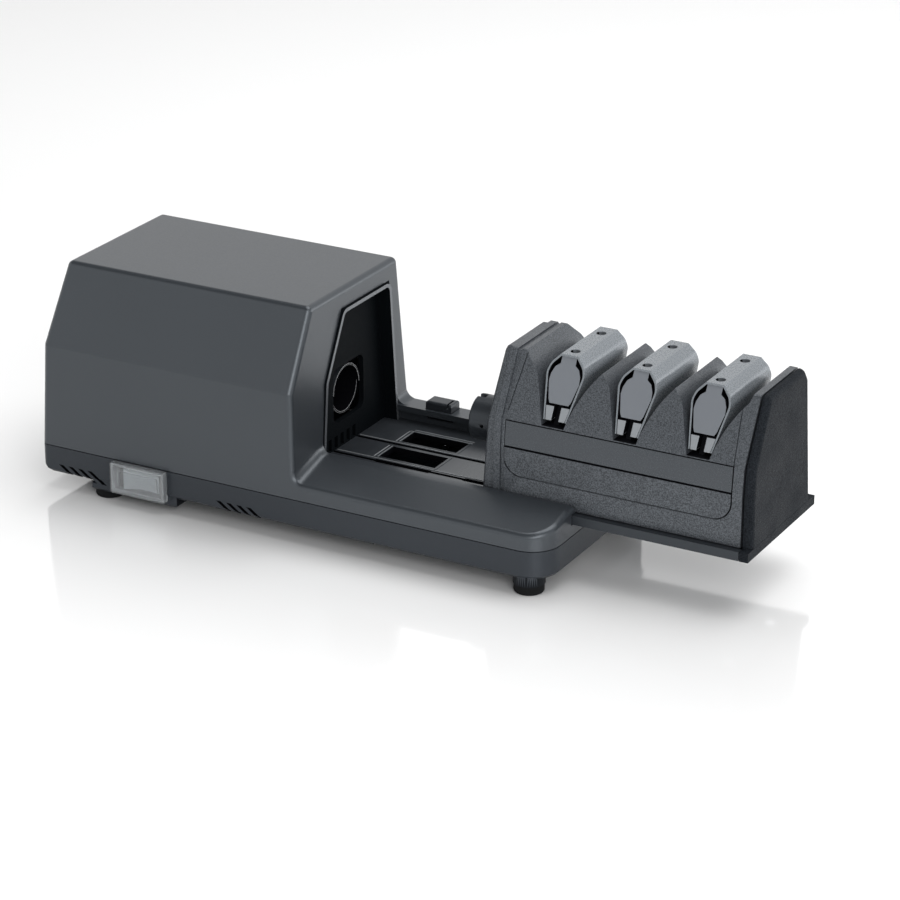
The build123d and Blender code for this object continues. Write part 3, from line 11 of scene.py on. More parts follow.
import bmesh
import bpy
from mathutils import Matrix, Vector

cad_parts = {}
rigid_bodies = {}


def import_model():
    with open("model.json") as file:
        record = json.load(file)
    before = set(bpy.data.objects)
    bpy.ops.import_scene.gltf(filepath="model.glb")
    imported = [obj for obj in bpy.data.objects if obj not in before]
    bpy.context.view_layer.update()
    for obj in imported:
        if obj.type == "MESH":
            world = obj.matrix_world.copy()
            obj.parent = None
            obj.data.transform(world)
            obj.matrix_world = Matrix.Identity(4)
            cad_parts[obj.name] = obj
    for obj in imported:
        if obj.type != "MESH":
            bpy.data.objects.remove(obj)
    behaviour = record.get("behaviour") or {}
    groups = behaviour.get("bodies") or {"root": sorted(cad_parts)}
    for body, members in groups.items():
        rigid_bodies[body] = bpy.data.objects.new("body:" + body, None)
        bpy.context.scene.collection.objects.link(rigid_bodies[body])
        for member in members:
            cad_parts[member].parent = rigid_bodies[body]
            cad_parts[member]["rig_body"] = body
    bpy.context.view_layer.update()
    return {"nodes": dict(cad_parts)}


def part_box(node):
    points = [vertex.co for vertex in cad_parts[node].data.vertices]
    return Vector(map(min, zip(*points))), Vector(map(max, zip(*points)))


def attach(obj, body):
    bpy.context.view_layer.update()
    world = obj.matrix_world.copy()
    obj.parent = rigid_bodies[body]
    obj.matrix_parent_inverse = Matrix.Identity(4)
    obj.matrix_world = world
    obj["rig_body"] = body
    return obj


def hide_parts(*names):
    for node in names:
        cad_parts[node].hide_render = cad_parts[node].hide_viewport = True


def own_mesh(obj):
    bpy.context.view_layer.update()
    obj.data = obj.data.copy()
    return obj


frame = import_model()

MM = 1000.0
SHIFT_X, SHIFT_Y = 172.5, 55.0

# The line that the motor, the cup, the hub and the spindle turn about.
AXIS_Y, AXIS_Z = 60.0, 52.4

# Top of the tray floor, on which the module slides.
FLOOR = 26.7


def at(x, y, z):
    """A working point in millimetres as a vector in the shared frame, in metres."""
    return Vector(((x - SHIFT_X) / MM, (y - SHIFT_Y) / MM, z / MM))


def working(point):
    """The working coordinates, in millimetres, of a point in the shared frame."""
    return point.x * MM + SHIFT_X, point.y * MM + SHIFT_Y, point.z * MM


def add_to_scene(name, data):
    """A new object with this mesh, lamp or camera, linked to the scene."""
    made = bpy.data.objects.new(name, data)
    bpy.context.scene.collection.objects.link(made)
    return made


# ---- finishes ----
# A noise mostly keeps between the first two values. Specks show where it crosses the other two.
NOISE_LOW, NOISE_HIGH = 0.3, 0.7
SPECKS_LOW, SPECKS_HIGH = 0.36, 0.64

# Dark mouldings mirror a little more of the blue than of the red.
COOL_SHEEN = (0.86, 0.93, 1.0, 1.0)

# The tray's painted gloss, as shared X in metres: it starts matt and is fully shiny at the end,
# which paints shade beside the housing and light towards the open end.
GLOSS_PAINT_START, GLOSS_PAINT_END = -0.03, 0.03


class Nodes:
    """A node tree, and short ways to add to it."""

    def __init__(self, tree):
        self.tree = tree

    def node(self, kind, inputs=None, **settings):
        """A new node. Each input is given a value, or the output that feeds it."""
        made = self.tree.nodes.new(kind)
        for key, value in settings.items():
            setattr(made, key, value)
        for socket, value in (inputs or {}).items():
            if isinstance(value, bpy.types.NodeSocket):
                self.link(value, made.inputs[socket])
            else:
                made.inputs[socket].default_value = value
        return made

    def link(self, source, target):
        self.tree.links.new(source, target)

    def span(self, source, low, high, source_low=NOISE_LOW, source_high=NOISE_HIGH, **settings):
        """The source, moved from its own range to the one between low and high."""
        inputs = {"From Min": source_low, "From Max": source_high, "To Min": low, "To Max": high}
        inputs["Value"] = source
        return self.node("ShaderNodeMapRange", inputs, **settings).outputs["Result"]

    def larger(self, first, second):
        """The larger of two numbers."""
        made = self.node("ShaderNodeMath", {0: first, 1: second}, operation="MAXIMUM")
        return made.outputs["Value"]

    def vector(self, operation, *inputs):
        """The vector that a Vector Math node makes of its inputs."""
        made = self.node("ShaderNodeVectorMath", dict(enumerate(inputs)), operation=operation)
        return made.outputs["Vector"]


# Short names for inputs of the Principled node.
SOCKETS = {
    "sheen": "Specular IOR Level",
    "sheen_tint": "Specular Tint",
    "metallic": "Metallic",
    "see_through": "Transmission Weight",
    "ior": "IOR",
}


class Finish(Nodes):
    """One material: its node tree and the Principled node that it feeds."""

    def __init__(self, name):
        self.material = bpy.data.materials.new(name)
        self.material.use_nodes = True
        super().__init__(self.material.node_tree)
        self.shader = self.tree.nodes["Principled BSDF"]
        self.place = self.node("ShaderNodeTexCoord").outputs["Object"]

    def noise(self, scale, detail=2.0, roughness=0.5, place=None):
        inputs = {"Scale": scale, "Detail": detail, "Roughness": roughness}
        inputs["Vector"] = place or self.place
        return self.node("ShaderNodeTexNoise", inputs).outputs["Fac"]

    def cells(self, scale):
        inputs = {"Vector": self.place, "Scale": scale}
        return self.node("ShaderNodeTexVoronoi", inputs).outputs["Distance"]

    def bands(self, kind, scale, distortion, place=None):
        """Bands that follow each other along X, or rings round it."""
        inputs = {"Vector": place or self.place, "Scale": scale, "Distortion": distortion}
        settings = {"wave_type": kind, "bands_direction": "X", "rings_direction": "X"}
        return self.node("ShaderNodeTexWave", inputs, **settings).outputs["Fac"]

    def mapped(self, **inputs):
        """The place, moved or scaled."""
        return self.node("ShaderNodeMapping", {"Vector": self.place, **inputs}).outputs["Vector"]

    def ramp(self, source, stops):
        made = self.node("ShaderNodeValToRGB", {"Fac": source})
        while len(made.color_ramp.elements) < len(stops):
            made.color_ramp.elements.new(0.5)
        for element, (place, colour) in zip(made.color_ramp.elements, stops):
            element.position = place
            element.color = (*colour, 1.0)
        return made.outputs["Color"]

    def blend(self, amount, low, high, **amount_range):
        """A colour between low and high, as the amount runs through its range."""
        share = self.span(amount, 0.0, 1.0, **amount_range)
        inputs = {"Factor": share, "A": (*low, 1.0), "B": (*high, 1.0)}
        return self.node("ShaderNodeMix", inputs, data_type="RGBA").outputs["Result"]

    def bump(self, height, distance, strength, under=None):
        inputs = {"Height": height, "Distance": distance, "Strength": strength}
        if under is not None:
            inputs["Normal"] = under
        return self.node("ShaderNodeBump", inputs).outputs["Normal"]

    def colour(self, source):
        self.link(source, self.shader.inputs["Base Color"])

    def rough(self, source):
        self.link(source, self.shader.inputs["Roughness"])

    def relief(self, normal):
        self.link(normal, self.shader.inputs["Normal"])

    def give(self, **values):
        """Set inputs of the Principled node that have one value all over, such as metallic=1.0."""
        for name, value in values.items():
            self.shader.inputs[SOCKETS[name]].default_value = value


def tint(colour, factor):
    return tuple(min(1.0, channel * factor) for channel in colour)


def satin_moulding(name, colour, roughness=0.42, grain=1500.0, depth=0.00002, sheen=0.5):
    """Smooth moulded plastic with a fine satin grain and faint flow shading."""
    finish = Finish(name)
    fine = finish.noise(grain)
    flow = finish.noise(scale=9.0, detail=1.0)
    finish.colour(finish.blend(flow, tint(colour, 0.93), tint(colour, 1.07)))
    finish.rough(finish.span(fine, roughness - 0.02, roughness + 0.03))
    finish.relief(finish.bump(fine, depth, strength=0.35))
    finish.give(sheen=sheen, sheen_tint=COOL_SHEEN)
    return finish.material


def floor_with_painted_gloss(name, colour):
    """Floor under the module with painted gloss: matt in painted shade beside the housing, shinier
    towards its open end.
    """
    finish = Finish(name)
    along = finish.node("ShaderNodeSeparateXYZ", {"Vector": finish.place}).outputs["X"]
    rub = finish.noise(scale=160.0)
    finish.colour(finish.blend(rub, tint(colour, 0.9), tint(colour, 1.1)))
    finish.rough(finish.span(along, 0.42, 0.24, GLOSS_PAINT_START, GLOSS_PAINT_END))
    # Painted gloss: the sheen rises along X, so that the tray floor reads shaded beside the housing
    # and lit towards its open end.
    sheen = finish.span(along, 0.12, 0.95, GLOSS_PAINT_START, GLOSS_PAINT_END)
    finish.link(sheen, finish.shader.inputs[SOCKETS["sheen"]])
    finish.relief(finish.bump(rub, distance=0.00002, strength=0.2))
    finish.give(sheen_tint=COOL_SHEEN)
    return finish.material


def sparked_moulding(name, colour, roughness, sheen, grain=1150.0, depth=0.00011):
    """Moulded plastic with the coarse, sparkling texture of an eroded tool."""
    finish = Finish(name)
    pits = finish.cells(grain)
    specks = finish.noise(grain * 1.7, detail=3.0, roughness=0.62)
    flow = finish.noise(scale=60.0, detail=3.0)
    ends = {"source_low": SPECKS_LOW, "source_high": SPECKS_HIGH}
    finish.colour(finish.blend(specks, tint(colour, 0.5), tint(colour, 1.6), **ends))
    finish.rough(finish.span(flow, roughness - 0.06, roughness + 0.08))
    sparkle = finish.span(specks, sheen * 0.6, sheen * 1.4, **ends)
    finish.link(sparkle, finish.shader.inputs[SOCKETS["sheen"]])
    pitted = finish.bump(pits, depth, strength=0.7)
    finish.relief(finish.bump(specks, depth * 1.2, strength=0.6, under=pitted))
    finish.give(sheen_tint=COOL_SHEEN)
    return finish.material


def brushed_metal(name, colour, roughness=0.3, along=(1.0, 60.0, 60.0)):
    """Metal with fine lines, drawn out along the axis whose scale is 1."""
    finish = Finish(name)
    lines = finish.noise(scale=60.0, detail=3.0, place=finish.mapped(Scale=along))
    finish.colour(finish.blend(lines, tint(colour, 0.85), tint(colour, 1.1)))
    finish.rough(finish.span(lines, roughness - 0.07, roughness + 0.1))
    finish.relief(finish.bump(lines, distance=0.00002, strength=0.25))
    finish.give(metallic=1.0)
    return finish.material


def cast_metal(name, colour, roughness=0.5, metallic=1.0, grain=420.0):
    """Cast, sintered or pressed material with an open grain."""
    finish = Finish(name)
    grains = finish.noise(grain, detail=4.0, roughness=0.6)
    finish.colour(finish.blend(grains, tint(colour, 0.78), tint(colour, 1.15)))
    finish.rough(finish.span(grains, roughness - 0.08, roughness + 0.1))
    finish.relief(finish.bump(grains, distance=0.00008, strength=0.4))
    finish.give(metallic=metallic)
    return finish.material


def layered_sheets(name):
    """Stacked steel sheets: fine dark lines across the axis."""
    finish = Finish(name)
    lines = finish.bands("BANDS", scale=320.0, distortion=0.4)
    joint, edge, sheet = (0.10, 0.10, 0.11), (0.34, 0.35, 0.37), (0.42, 0.43, 0.45)
    finish.colour(finish.ramp(lines, [(0.0, joint), (0.35, edge), (1.0, sheet)]))
    finish.rough(finish.span(finish.noise(scale=300.0), 0.38, 0.55))
    finish.relief(finish.bump(lines, distance=0.0001, strength=0.5))
    finish.give(metallic=0.9)
    return finish.material


def wound_copper(name):
    """Lacquered wire, wound in rings round the drive axis."""
    finish = Finish(name)
    on_axis = finish.mapped(Location=-at(SHIFT_X, AXIS_Y, AXIS_Z))
    turns = finish.bands("RINGS", scale=210.0, distortion=1.5, place=on_axis)
    gap, flank, crown = (0.16, 0.05, 0.02), (0.52, 0.20, 0.08), (0.66, 0.29, 0.13)
    finish.colour(finish.ramp(turns, [(0.0, gap), (0.5, flank), (1.0, crown)]))
    finish.rough(finish.span(turns, 0.45, 0.28, source_low=0.0, source_high=1.0))
    finish.relief(finish.bump(turns, distance=0.0003, strength=0.7))
    finish.give(metallic=0.85)
    return finish.material


def soft_rubber(name, colour):
    """Dull rubber with a dusty surface."""
    finish = Finish(name)
    dust = finish.noise(scale=700.0, detail=4.0, roughness=0.7)
    finish.colour(finish.blend(dust, tint(colour, 0.8), tint(colour, 1.3)))
    finish.rough(finish.span(dust, 0.72, 0.88))
    finish.relief(finish.bump(dust, distance=0.00004, strength=0.4))
    finish.give(sheen=0.12)
    return finish.material


def frosted_cover(name):
    """The flexible see-through cap over the switch."""
    finish = Finish(name)
    mist = finish.noise(scale=420.0)
    finish.colour(finish.blend(mist, (0.80, 0.83, 0.85), (0.88, 0.91, 0.93)))
    finish.rough(finish.span(mist, 0.07, 0.13))
    finish.relief(finish.bump(mist, distance=0.00001, strength=0.2))
    finish.give(see_through=0.88, ior=1.41)
    return finish.material


def gritted_face(name):
    """Nickel-bonded diamond grit on the sharpening discs."""
    finish = Finish(name)
    grit = finish.cells(scale=2600.0)
    grain, flank, bond = (0.62, 0.61, 0.57), (0.30, 0.30, 0.29), (0.15, 0.15, 0.15)
    finish.colour(finish.ramp(grit, [(0.0, grain), (0.5, flank), (1.0, bond)]))
    finish.rough(finish.span(grit, 0.35, 0.6, source_low=0.0, source_high=0.6))
    finish.relief(finish.bump(grit, distance=0.00012, strength=0.8))
    finish.give(metallic=0.75)
    return finish.material


# The finish of each material slot.
finishes = {
    "housing_plastic": satin_moulding(
        "housing_satin",
        (0.028, 0.032, 0.037),
        roughness=0.30,
        grain=1100.0,
        depth=0.000003,
        sheen=0.72,
    ),
    # The liner is near black, far darker than the housing's plastic: painted shade of the deep
    # niche.
    "liner_plastic": satin_moulding("liner_matt_painted_shade", (0.003, 0.004, 0.005), roughness=0.62, sheen=0.05),
    "base_plastic": satin_moulding(
        "base_satin", (0.017, 0.020, 0.025), roughness=0.40, grain=1300.0, sheen=0.45
    ),
    "rubber_black": soft_rubber("foot_rubber", (0.007, 0.0075, 0.008)),
    "zinc_steel": brushed_metal("screw_zinc", (0.62, 0.63, 0.65), roughness=0.32),
    "lamination_steel": layered_sheets("core_sheets"),
    "copper_wire": wound_copper("winding_copper"),
    "cast_aluminium": cast_metal("bracket_alloy", (0.55, 0.56, 0.58)),
    "sintered_bronze": cast_metal("bush_bronze", (0.50, 0.33, 0.16), roughness=0.45, grain=700.0),
    "shaft_steel": brushed_metal(
        "ground_steel", (0.60, 0.61, 0.63), roughness=0.2, along=(60.0, 1.0, 1.0)
    ),
    "fan_plastic": satin_moulding("fan_white", (0.55, 0.55, 0.52), roughness=0.5),
    "coupling_plastic": satin_moulding("coupling_dark", (0.020, 0.023, 0.027), roughness=0.34),
    "clear_cover": frosted_cover("cover_frosted"),
    "switch_black": satin_moulding("switch_dark", (0.015, 0.016, 0.018), roughness=0.35),
    "rocker_plastic": satin_moulding("rocker_grey", (0.42, 0.44, 0.45), roughness=0.35),
    "catch_plastic": satin_moulding("catch_dark", (0.018, 0.020, 0.024), roughness=0.36),
    "capacitor_case": satin_moulding("capacitor_white", (0.48, 0.49, 0.47), roughness=0.45),
    "terminal_plastic": satin_moulding("terminal_cream", (0.50, 0.47, 0.40), roughness=0.45),
    "module_plastic": sparked_moulding(
        "module_sparked", (0.041, 0.045, 0.051), roughness=0.38, sheen=0.75
    ),
    "stage_band_plastic": satin_moulding(
        "band_smooth", (0.036, 0.040, 0.045), roughness=0.26, grain=2200.0, sheen=0.7
    ),
    # Sparked texture as on the module, but much darker and duller: painted shade on the outer end
    # plate.
    "end_plate_plastic": sparked_moulding(
        "end_plate_painted_shade", (0.012, 0.014, 0.017), roughness=0.5, sheen=0.045
    ),
    "module_base_plastic": satin_moulding("module_base_dark", (0.018, 0.021, 0.025)),
    "ferrite": cast_metal(
        "magnet_ferrite", (0.05, 0.05, 0.055), roughness=0.55, metallic=0.2, grain=900.0
    ),
    "guide_spring_plastic": satin_moulding(
        "guide_spring_satin",
        (0.165, 0.18, 0.195),
        roughness=0.27,
        grain=1900.0,
        depth=0.00001,
        sheen=0.9,
    ),
    "toe_plastic": satin_moulding("toe_light", (0.25, 0.265, 0.28)),
    "core_plastic": satin_moulding("core_grey", (0.165, 0.177, 0.195), roughness=0.40),
    "diamond_abrasive": gritted_face("disc_grit"),
}

# Faces that look different from the rest of their piece. Most of these finishes paint shade or a
# highlight into a colour.
# The front of the cup's wall is lighter and glossier than the rest of the cup.
light_rim = satin_moulding("cup_rim_light", (0.46, 0.47, 0.48), roughness=0.24, sheen=0.8)
# Near-black finish with almost no gloss: painted shade on recesses, gaps and inner faces, such as
# the cup's bore, the vents, the tray windows, the knife slots, the panel rims and the guides' inner
# faces.
painted_shade = satin_moulding("painted_shade_black", (0.003, 0.003, 0.004), roughness=0.5, sheen=0.05)
# Lighter colour on the liner's lip is a painted highlight along the rim. Its higher gloss is real.
liner_rim = satin_moulding("liner_rim_painted_highlight", (0.085, 0.090, 0.098), roughness=0.22, sheen=0.9)
# Light grey on the tray's ribs and lines: a painted highlight for the lines that the floor catches
# in the light.
rib_painted_highlight = satin_moulding(
    "slide_rib_painted_highlight", (0.20, 0.21, 0.22), roughness=0.22, grain=2600.0, sheen=0.8
)
# Darker posts under the base: painted shade where the base hangs over the feet.
foot_post = satin_moulding("foot_post_painted_shade", (0.008, 0.009, 0.011), roughness=0.5, sheen=0.1)
tray_painted_gloss = floor_with_painted_gloss("tray_floor_painted_gloss", (0.024, 0.027, 0.031))

node_slots = {
    "upper_shell": "housing_plastic",
    "niche_liner": "liner_plastic",
    "bottom_shell": "base_plastic",
    "rubber_feet": "rubber_black",
    "motor_grommets": "rubber_black",
    "cord_gland": "rubber_black",
    "shell_screws": "zinc_steel",
    "motor_screws": "zinc_steel",
    "module_screws": "zinc_steel",
    "guide_screws": "zinc_steel",
    "motor_bolts": "zinc_steel",
    "motor_stator": "lamination_steel",
    "motor_rotor": "lamination_steel",
    "motor_windings": "copper_wire",
    "motor_bracket_left": "cast_aluminium",
    "motor_bracket_right": "cast_aluminium",
    "motor_bushes": "sintered_bronze",
    "spindle_bushes": "sintered_bronze",
    "motor_shaft": "shaft_steel",
    "spindle_shaft": "shaft_steel",
    "disc_springs": "shaft_steel",
    "disc_drive_pins": "shaft_steel",
    "catch_spring": "shaft_steel",
    "cooling_fan": "fan_plastic",
    "drive_cup": "coupling_plastic",
    "driven_hub": "coupling_plastic",
    "switch_cover": "clear_cover",
    "switch_body": "switch_black",
    "switch_rocker": "rocker_plastic",
    "release_catch": "catch_plastic",
    "run_capacitor": "capacitor_case",
    "terminal_block": "terminal_plastic",
    "module_frame": "module_plastic",
    "module_front_panel": "module_plastic",
    "module_stage_band": "stage_band_plastic",
    "module_inner_end_plate": "end_plate_plastic",
    "module_outer_end_plate": "end_plate_plastic",
    "module_base": "module_base_plastic",
    "filings_magnet": "ferrite",
}
STAGES = (1, 2, 3)
for stage in STAGES:
    node_slots[f"guide_spring_{stage}"] = "guide_spring_plastic"
    node_slots[f"guide_toe_blocks_{stage}"] = "toe_plastic"
    node_slots[f"guide_core_{stage}"] = "core_plastic"
    node_slots[f"abrasive_discs_{stage}"] = "diamond_abrasive"

# Nodes that look different from the rest of their material slot. The inner end plate takes the
# module's finish, so the painted shade of the end plate finish lies on the outer plate alone.
own_finish = {
    "module_inner_end_plate": finishes["module_plastic"],
    "guide_screws": brushed_metal("screw_dark", (0.10, 0.10, 0.105), roughness=0.4),
}


def finish_of(node):
    return own_finish.get(node, finishes[node_slots[node]])


for node in node_slots:
    mesh = frame["nodes"][node].data
    mesh.materials.clear()
    mesh.materials.append(finish_of(node))


# ---- softened mouldings ----
# Points closer than this, in metres, are one point, and faces that turn less than this are one face.
SAME_POINT = 0.000002
SAME_FACE = math.radians(0.4)

# Faces that meet at less than this shade as one surface.
EVEN_UP_TO = math.radians(32.0)


class Spot:
    """The middle of an edge or a face in working coordinates, and the normal of the face."""

    def __init__(self, middle, normal=None):
        self.x, self.y, self.z = working(middle)
        self.normal = normal


def bevel(solid, edges, width, segments=2, **settings):
    """Round edges of a bmesh to a width in millimetres."""
    bmesh.ops.bevel(
        solid,
        geom=edges,
        offset=width / MM,
        offset_type="OFFSET",
        affect="EDGES",
        segments=segments,
        profile=0.5,
        material=-1,
        **settings,
    )


def round_edges(solid, width, least=30, where=None, segments=2):
    """Round the edges that turn by at least so many degrees, all of them or those at some spots."""
    picked = []
    for edge in solid.edges:
        if len(edge.link_faces) != 2 or edge.calc_face_angle(0.0) < math.radians(least):
            continue
        first, second = edge.verts
        if where is None or where(Spot((first.co + second.co) / 2)):
            picked.append(edge)
    bevel(solid, picked, width, segments, clamp_overlap=True, loop_slide=True)


def even_mesh(name, solid):
    """Turn a bmesh into a mesh that shades smoothly but for its sharp edges."""
    mesh = bpy.data.meshes.new(name)
    solid.to_mesh(mesh)
    solid.free()
    mesh.shade_smooth()
    mesh.set_sharp_from_angle(angle=EVEN_UP_TO)
    return mesh


def soften(node, *passes, areas=()):
    """A copy of a CAD node with its sharp edges rounded.

    Each pass holds the settings of round_edges. Each area is (finish, test): the faces whose spot
    passes the test get that finish, and a later area goes over an earlier one.
    """
    source = frame["nodes"][node]
    solid = bmesh.new()
    solid.from_mesh(source.data)
    bmesh.ops.remove_doubles(solid, verts=solid.verts, dist=SAME_POINT)
    bmesh.ops.dissolve_limit(
        solid,
        angle_limit=SAME_FACE,
        verts=solid.verts,
        edges=solid.edges,
        use_dissolve_boundaries=False,
    )
    for settings in passes:
        round_edges(solid, **settings)
    bmesh.ops.remove_doubles(solid, verts=solid.verts, dist=SAME_POINT)
    for face in solid.faces:
        spot = Spot(face.calc_center_median(), face.normal)
        for index, (_, test) in enumerate(areas, start=1):
            if test(spot):
                face.material_index = index
    mesh = even_mesh(node + "_moulding", solid)
    mesh.materials.append(finish_of(node))
    for finish, _ in areas:
        mesh.materials.append(finish)
    piece = add_to_scene(node + "_moulding", mesh)
    shading = piece.modifiers.new("even_shading", "WEIGHTED_NORMAL")
    shading.keep_sharp = True
    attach(piece, source["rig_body"])
    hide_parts(node)


# Base and housing.
LINER_LIP_X = 135.95
FOOT_POST_TOP = 7.0
VENT_FRONT, VENT_BACK = 0.4, 3.0
VENT_BOTTOM, VENT_TOP = 7.5, 14.0
TRAY_LEFT, TRAY_RIGHT = 129.0, 261.5
TRAY_FRONT, TRAY_BACK = 24.2, 95.8
TRAY_TOP, WINDOWS_TOP = FLOOR + 0.3, FLOOR - 0.1
WINDOWS_FRONT, WINDOWS_BACK = 44.0, 84.0

# Sharpening module.
FINS_BOTTOM = 70.5
SLOT_FLOOR_BOTTOM, SLOT_FLOOR_TOP = 66.5, 69.5
PLATE_FACE_X, PLATE_FOOT_TOP = 215.6, 33.0
GUIDE_MIDDLE_Z = 84.0
CORE_POST_TOP = 76.4

# Drive cup. The bore's limit lies a little outside the rim's, and the rim goes over the bore.
CUP_BORE_RADIUS, CUP_RIM_RADIUS = 10.95, 10.85

# How much of a face's normal lies along an axis. A wall has less than its limit along the axis
# that it follows, and a face that looks along an axis has more than its limit.
POST_WALL, GUIDE_WALL, WINDOW_WALL = 0.6, 0.6, 0.4
VENT_SIDE, SLOT_FLOOR_UP, CUP_RIM_OUT = 0.45, 0.5, 0.5

# Forwards is towards negative Y, and only a panel's front looks that way by this much or more.
PANEL_FORWARDS = -0.93

# A guide's inner faces look towards its middle by more than this many millimetres.
GUIDE_INWARDS = -0.5


def on_liner_lip(spot):
    """The part of the liner that stands out of the housing's open end."""
    return spot.x > LINER_LIP_X


def on_foot_post(spot):
    """The sides of the posts that hold the feet."""
    return spot.z < FOOT_POST_TOP and abs(spot.normal.z) < POST_WALL


def in_front_vent(spot):
    """The sides of the slots in the front wall."""
    in_wall = VENT_FRONT < spot.y < VENT_BACK and VENT_BOTTOM < spot.z < VENT_TOP
    return in_wall and abs(spot.normal.x) > VENT_SIDE


def in_tray(spot):
    """The floor between the rails."""
    between_rails = TRAY_LEFT < spot.x < TRAY_RIGHT and TRAY_FRONT < spot.y < TRAY_BACK
    return between_rails and spot.z < TRAY_TOP


def in_tray_window(spot):
    """The walls of the windows and grooves in the tray floor."""
    at_windows = TRAY_LEFT < spot.x < TRAY_RIGHT and WINDOWS_FRONT < spot.y < WINDOWS_BACK
    return at_windows and spot.z < WINDOWS_TOP and abs(spot.normal.z) < WINDOW_WALL


def on_fins(spot):
    """Edges above the floor of the knife slots."""
    return spot.z > FINS_BOTTOM


def on_slot_floor(spot):
    """The floor of the knife slots."""
    return SLOT_FLOOR_BOTTOM < spot.z < SLOT_FLOOR_TOP and spot.normal.z > SLOT_FLOOR_UP


def on_panel_rim(spot):
    """All faces of a panel but the one that looks forwards."""
    return spot.normal.y > PANEL_FORWARDS


def on_plate_face(spot):
    """Edges round the inner face of the end plate, above its foot."""
    return spot.x < PLATE_FACE_X and spot.z > PLATE_FOOT_TOP


def off_axis(spot):
    """How far a spot is from the drive axis."""
    return math.hypot(spot.y - AXIS_Y, spot.z - AXIS_Z)


def in_cup_bore(spot):
    return off_axis(spot) < CUP_BORE_RADIUS


def on_cup_rim(spot):
    """The front of the cup's wall."""
    return off_axis(spot) > CUP_RIM_RADIUS and spot.normal.x > CUP_RIM_OUT


def looks_inwards(middle):
    """A test for the faces of a guide spring that look at its inside."""

    def test(spot):
        outwards = spot.normal.x * (spot.x - middle) + spot.normal.z * (spot.z - GUIDE_MIDDLE_Z)
        return abs(spot.normal.y) < GUIDE_WALL and outwards < GUIDE_INWARDS

    return test


def off_core_ends(spot):
    """The sides and posts of a guide core, and not its end faces."""
    return abs(spot.normal.y) < GUIDE_WALL or spot.z < CORE_POST_TOP


# The painted_shade areas below paint shade into the vent sides, the tray windows, the knife slots'
# floor, the panel rims, the cup's bore and the guides' inner faces and core sides.
soften("niche_liner", {"width": 0.35}, areas=[(liner_rim, on_liner_lip)])
soften(
    "bottom_shell",
    {"width": 0.4},
    areas=[(foot_post, on_foot_post), (painted_shade, in_front_vent)],
)
soften(
    "upper_shell",
    {"width": 0.3, "least": 40},
    areas=[(tray_painted_gloss, in_tray), (painted_shade, in_tray_window)],
)
soften(
    "module_frame",
    {"width": 1.1, "least": 28, "where": on_fins, "segments": 3},
    {"width": 0.25},
    areas=[(painted_shade, on_slot_floor)],
)
soften("module_front_panel", {"width": 0.3}, areas=[(painted_shade, on_panel_rim)])
soften("module_stage_band", {"width": 0.3}, areas=[(painted_shade, on_panel_rim)])
soften(
    "module_inner_end_plate",
    {"width": 2.0, "where": on_plate_face, "segments": 3},
    {"width": 0.35},
)
soften("module_outer_end_plate", {"width": 0.35})
soften("module_base", {"width": 0.3})
soften("release_catch", {"width": 0.3})
soften("driven_hub", {"width": 0.3})
soften("drive_cup", {"width": 0.15}, areas=[(painted_shade, in_cup_bore), (light_rim, on_cup_rim)])
soften("switch_rocker", {"width": 0.3})


def stage_middle(stage):
    """The working x of a stage's middle."""
    low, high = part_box(f"guide_spring_{stage}")
    return working((low + high) / 2)[0]


for stage in STAGES:
    inwards = looks_inwards(stage_middle(stage))
    soften(f"guide_spring_{stage}", {"width": 0.2}, areas=[(painted_shade, inwards)])
    soften(f"guide_toe_blocks_{stage}", {"width": 0.25}, areas=[(painted_shade, inwards)])
    soften(f"guide_core_{stage}", {"width": 0.25}, areas=[(painted_shade, off_core_ends)])


# ---- pieces made here ----
# Raised lines of the tray floor, light grey as a painted highlight: their foot and top, their widths
# and the rounding of their edges.
LINE_FOOT, LINE_TOP = FLOOR - 0.3, FLOOR + 0.28
RIB_WIDTH, LINE_WIDTH = 0.55, 0.5
LINE_ROUND = 0.12
RIB_LEFT, RIB_RIGHT = 130.2, 249.0
RIB_FRONTS = (48.3, 68.5)

# Short lines to the left of both windows, and two longer ones behind the back window.
INNER_LINE_X, OUTER_LINE_X = 150.0, 148.2
SIDE_LINES = ((50.0, 64.0), (70.1, 83.3))
BACK_LINES = ((OUTER_LINE_X + LINE_WIDTH, 83.3), (INNER_LINE_X, 85.2))
BACK_LINES_RIGHT = 181.2

# Rings of the switch cap's face from its edge inwards: how wide each is and how far it sinks.
CAP_RINGS = ((1.5, 0.0), (0.5, 0.55), (1.9, 0.0), (0.5, 0.5))
CAP_ROUND, CAP_WALL = 0.4, 0.8


def make_piece(name, solid, body, finish, stands_for=None):
    """Turn a bmesh into a finished piece that rides on a body."""
    bmesh.ops.recalc_face_normals(solid, faces=solid.faces)
    mesh = even_mesh(name, solid)
    mesh.materials.append(finish)
    piece = add_to_scene(name, mesh)
    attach(piece, body)
    if stands_for:
        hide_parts(stands_for)


def block(solid, low, high):
    """Add a block between two working corners to a bmesh and return its faces."""
    made = bmesh.ops.create_cube(solid, size=1.0)["verts"]
    first, last = at(*low), at(*high)
    bmesh.ops.scale(solid, verts=made, vec=last - first)
    bmesh.ops.translate(solid, verts=made, vec=(first + last) / 2)
    return {face for vert in made for face in vert.link_faces}


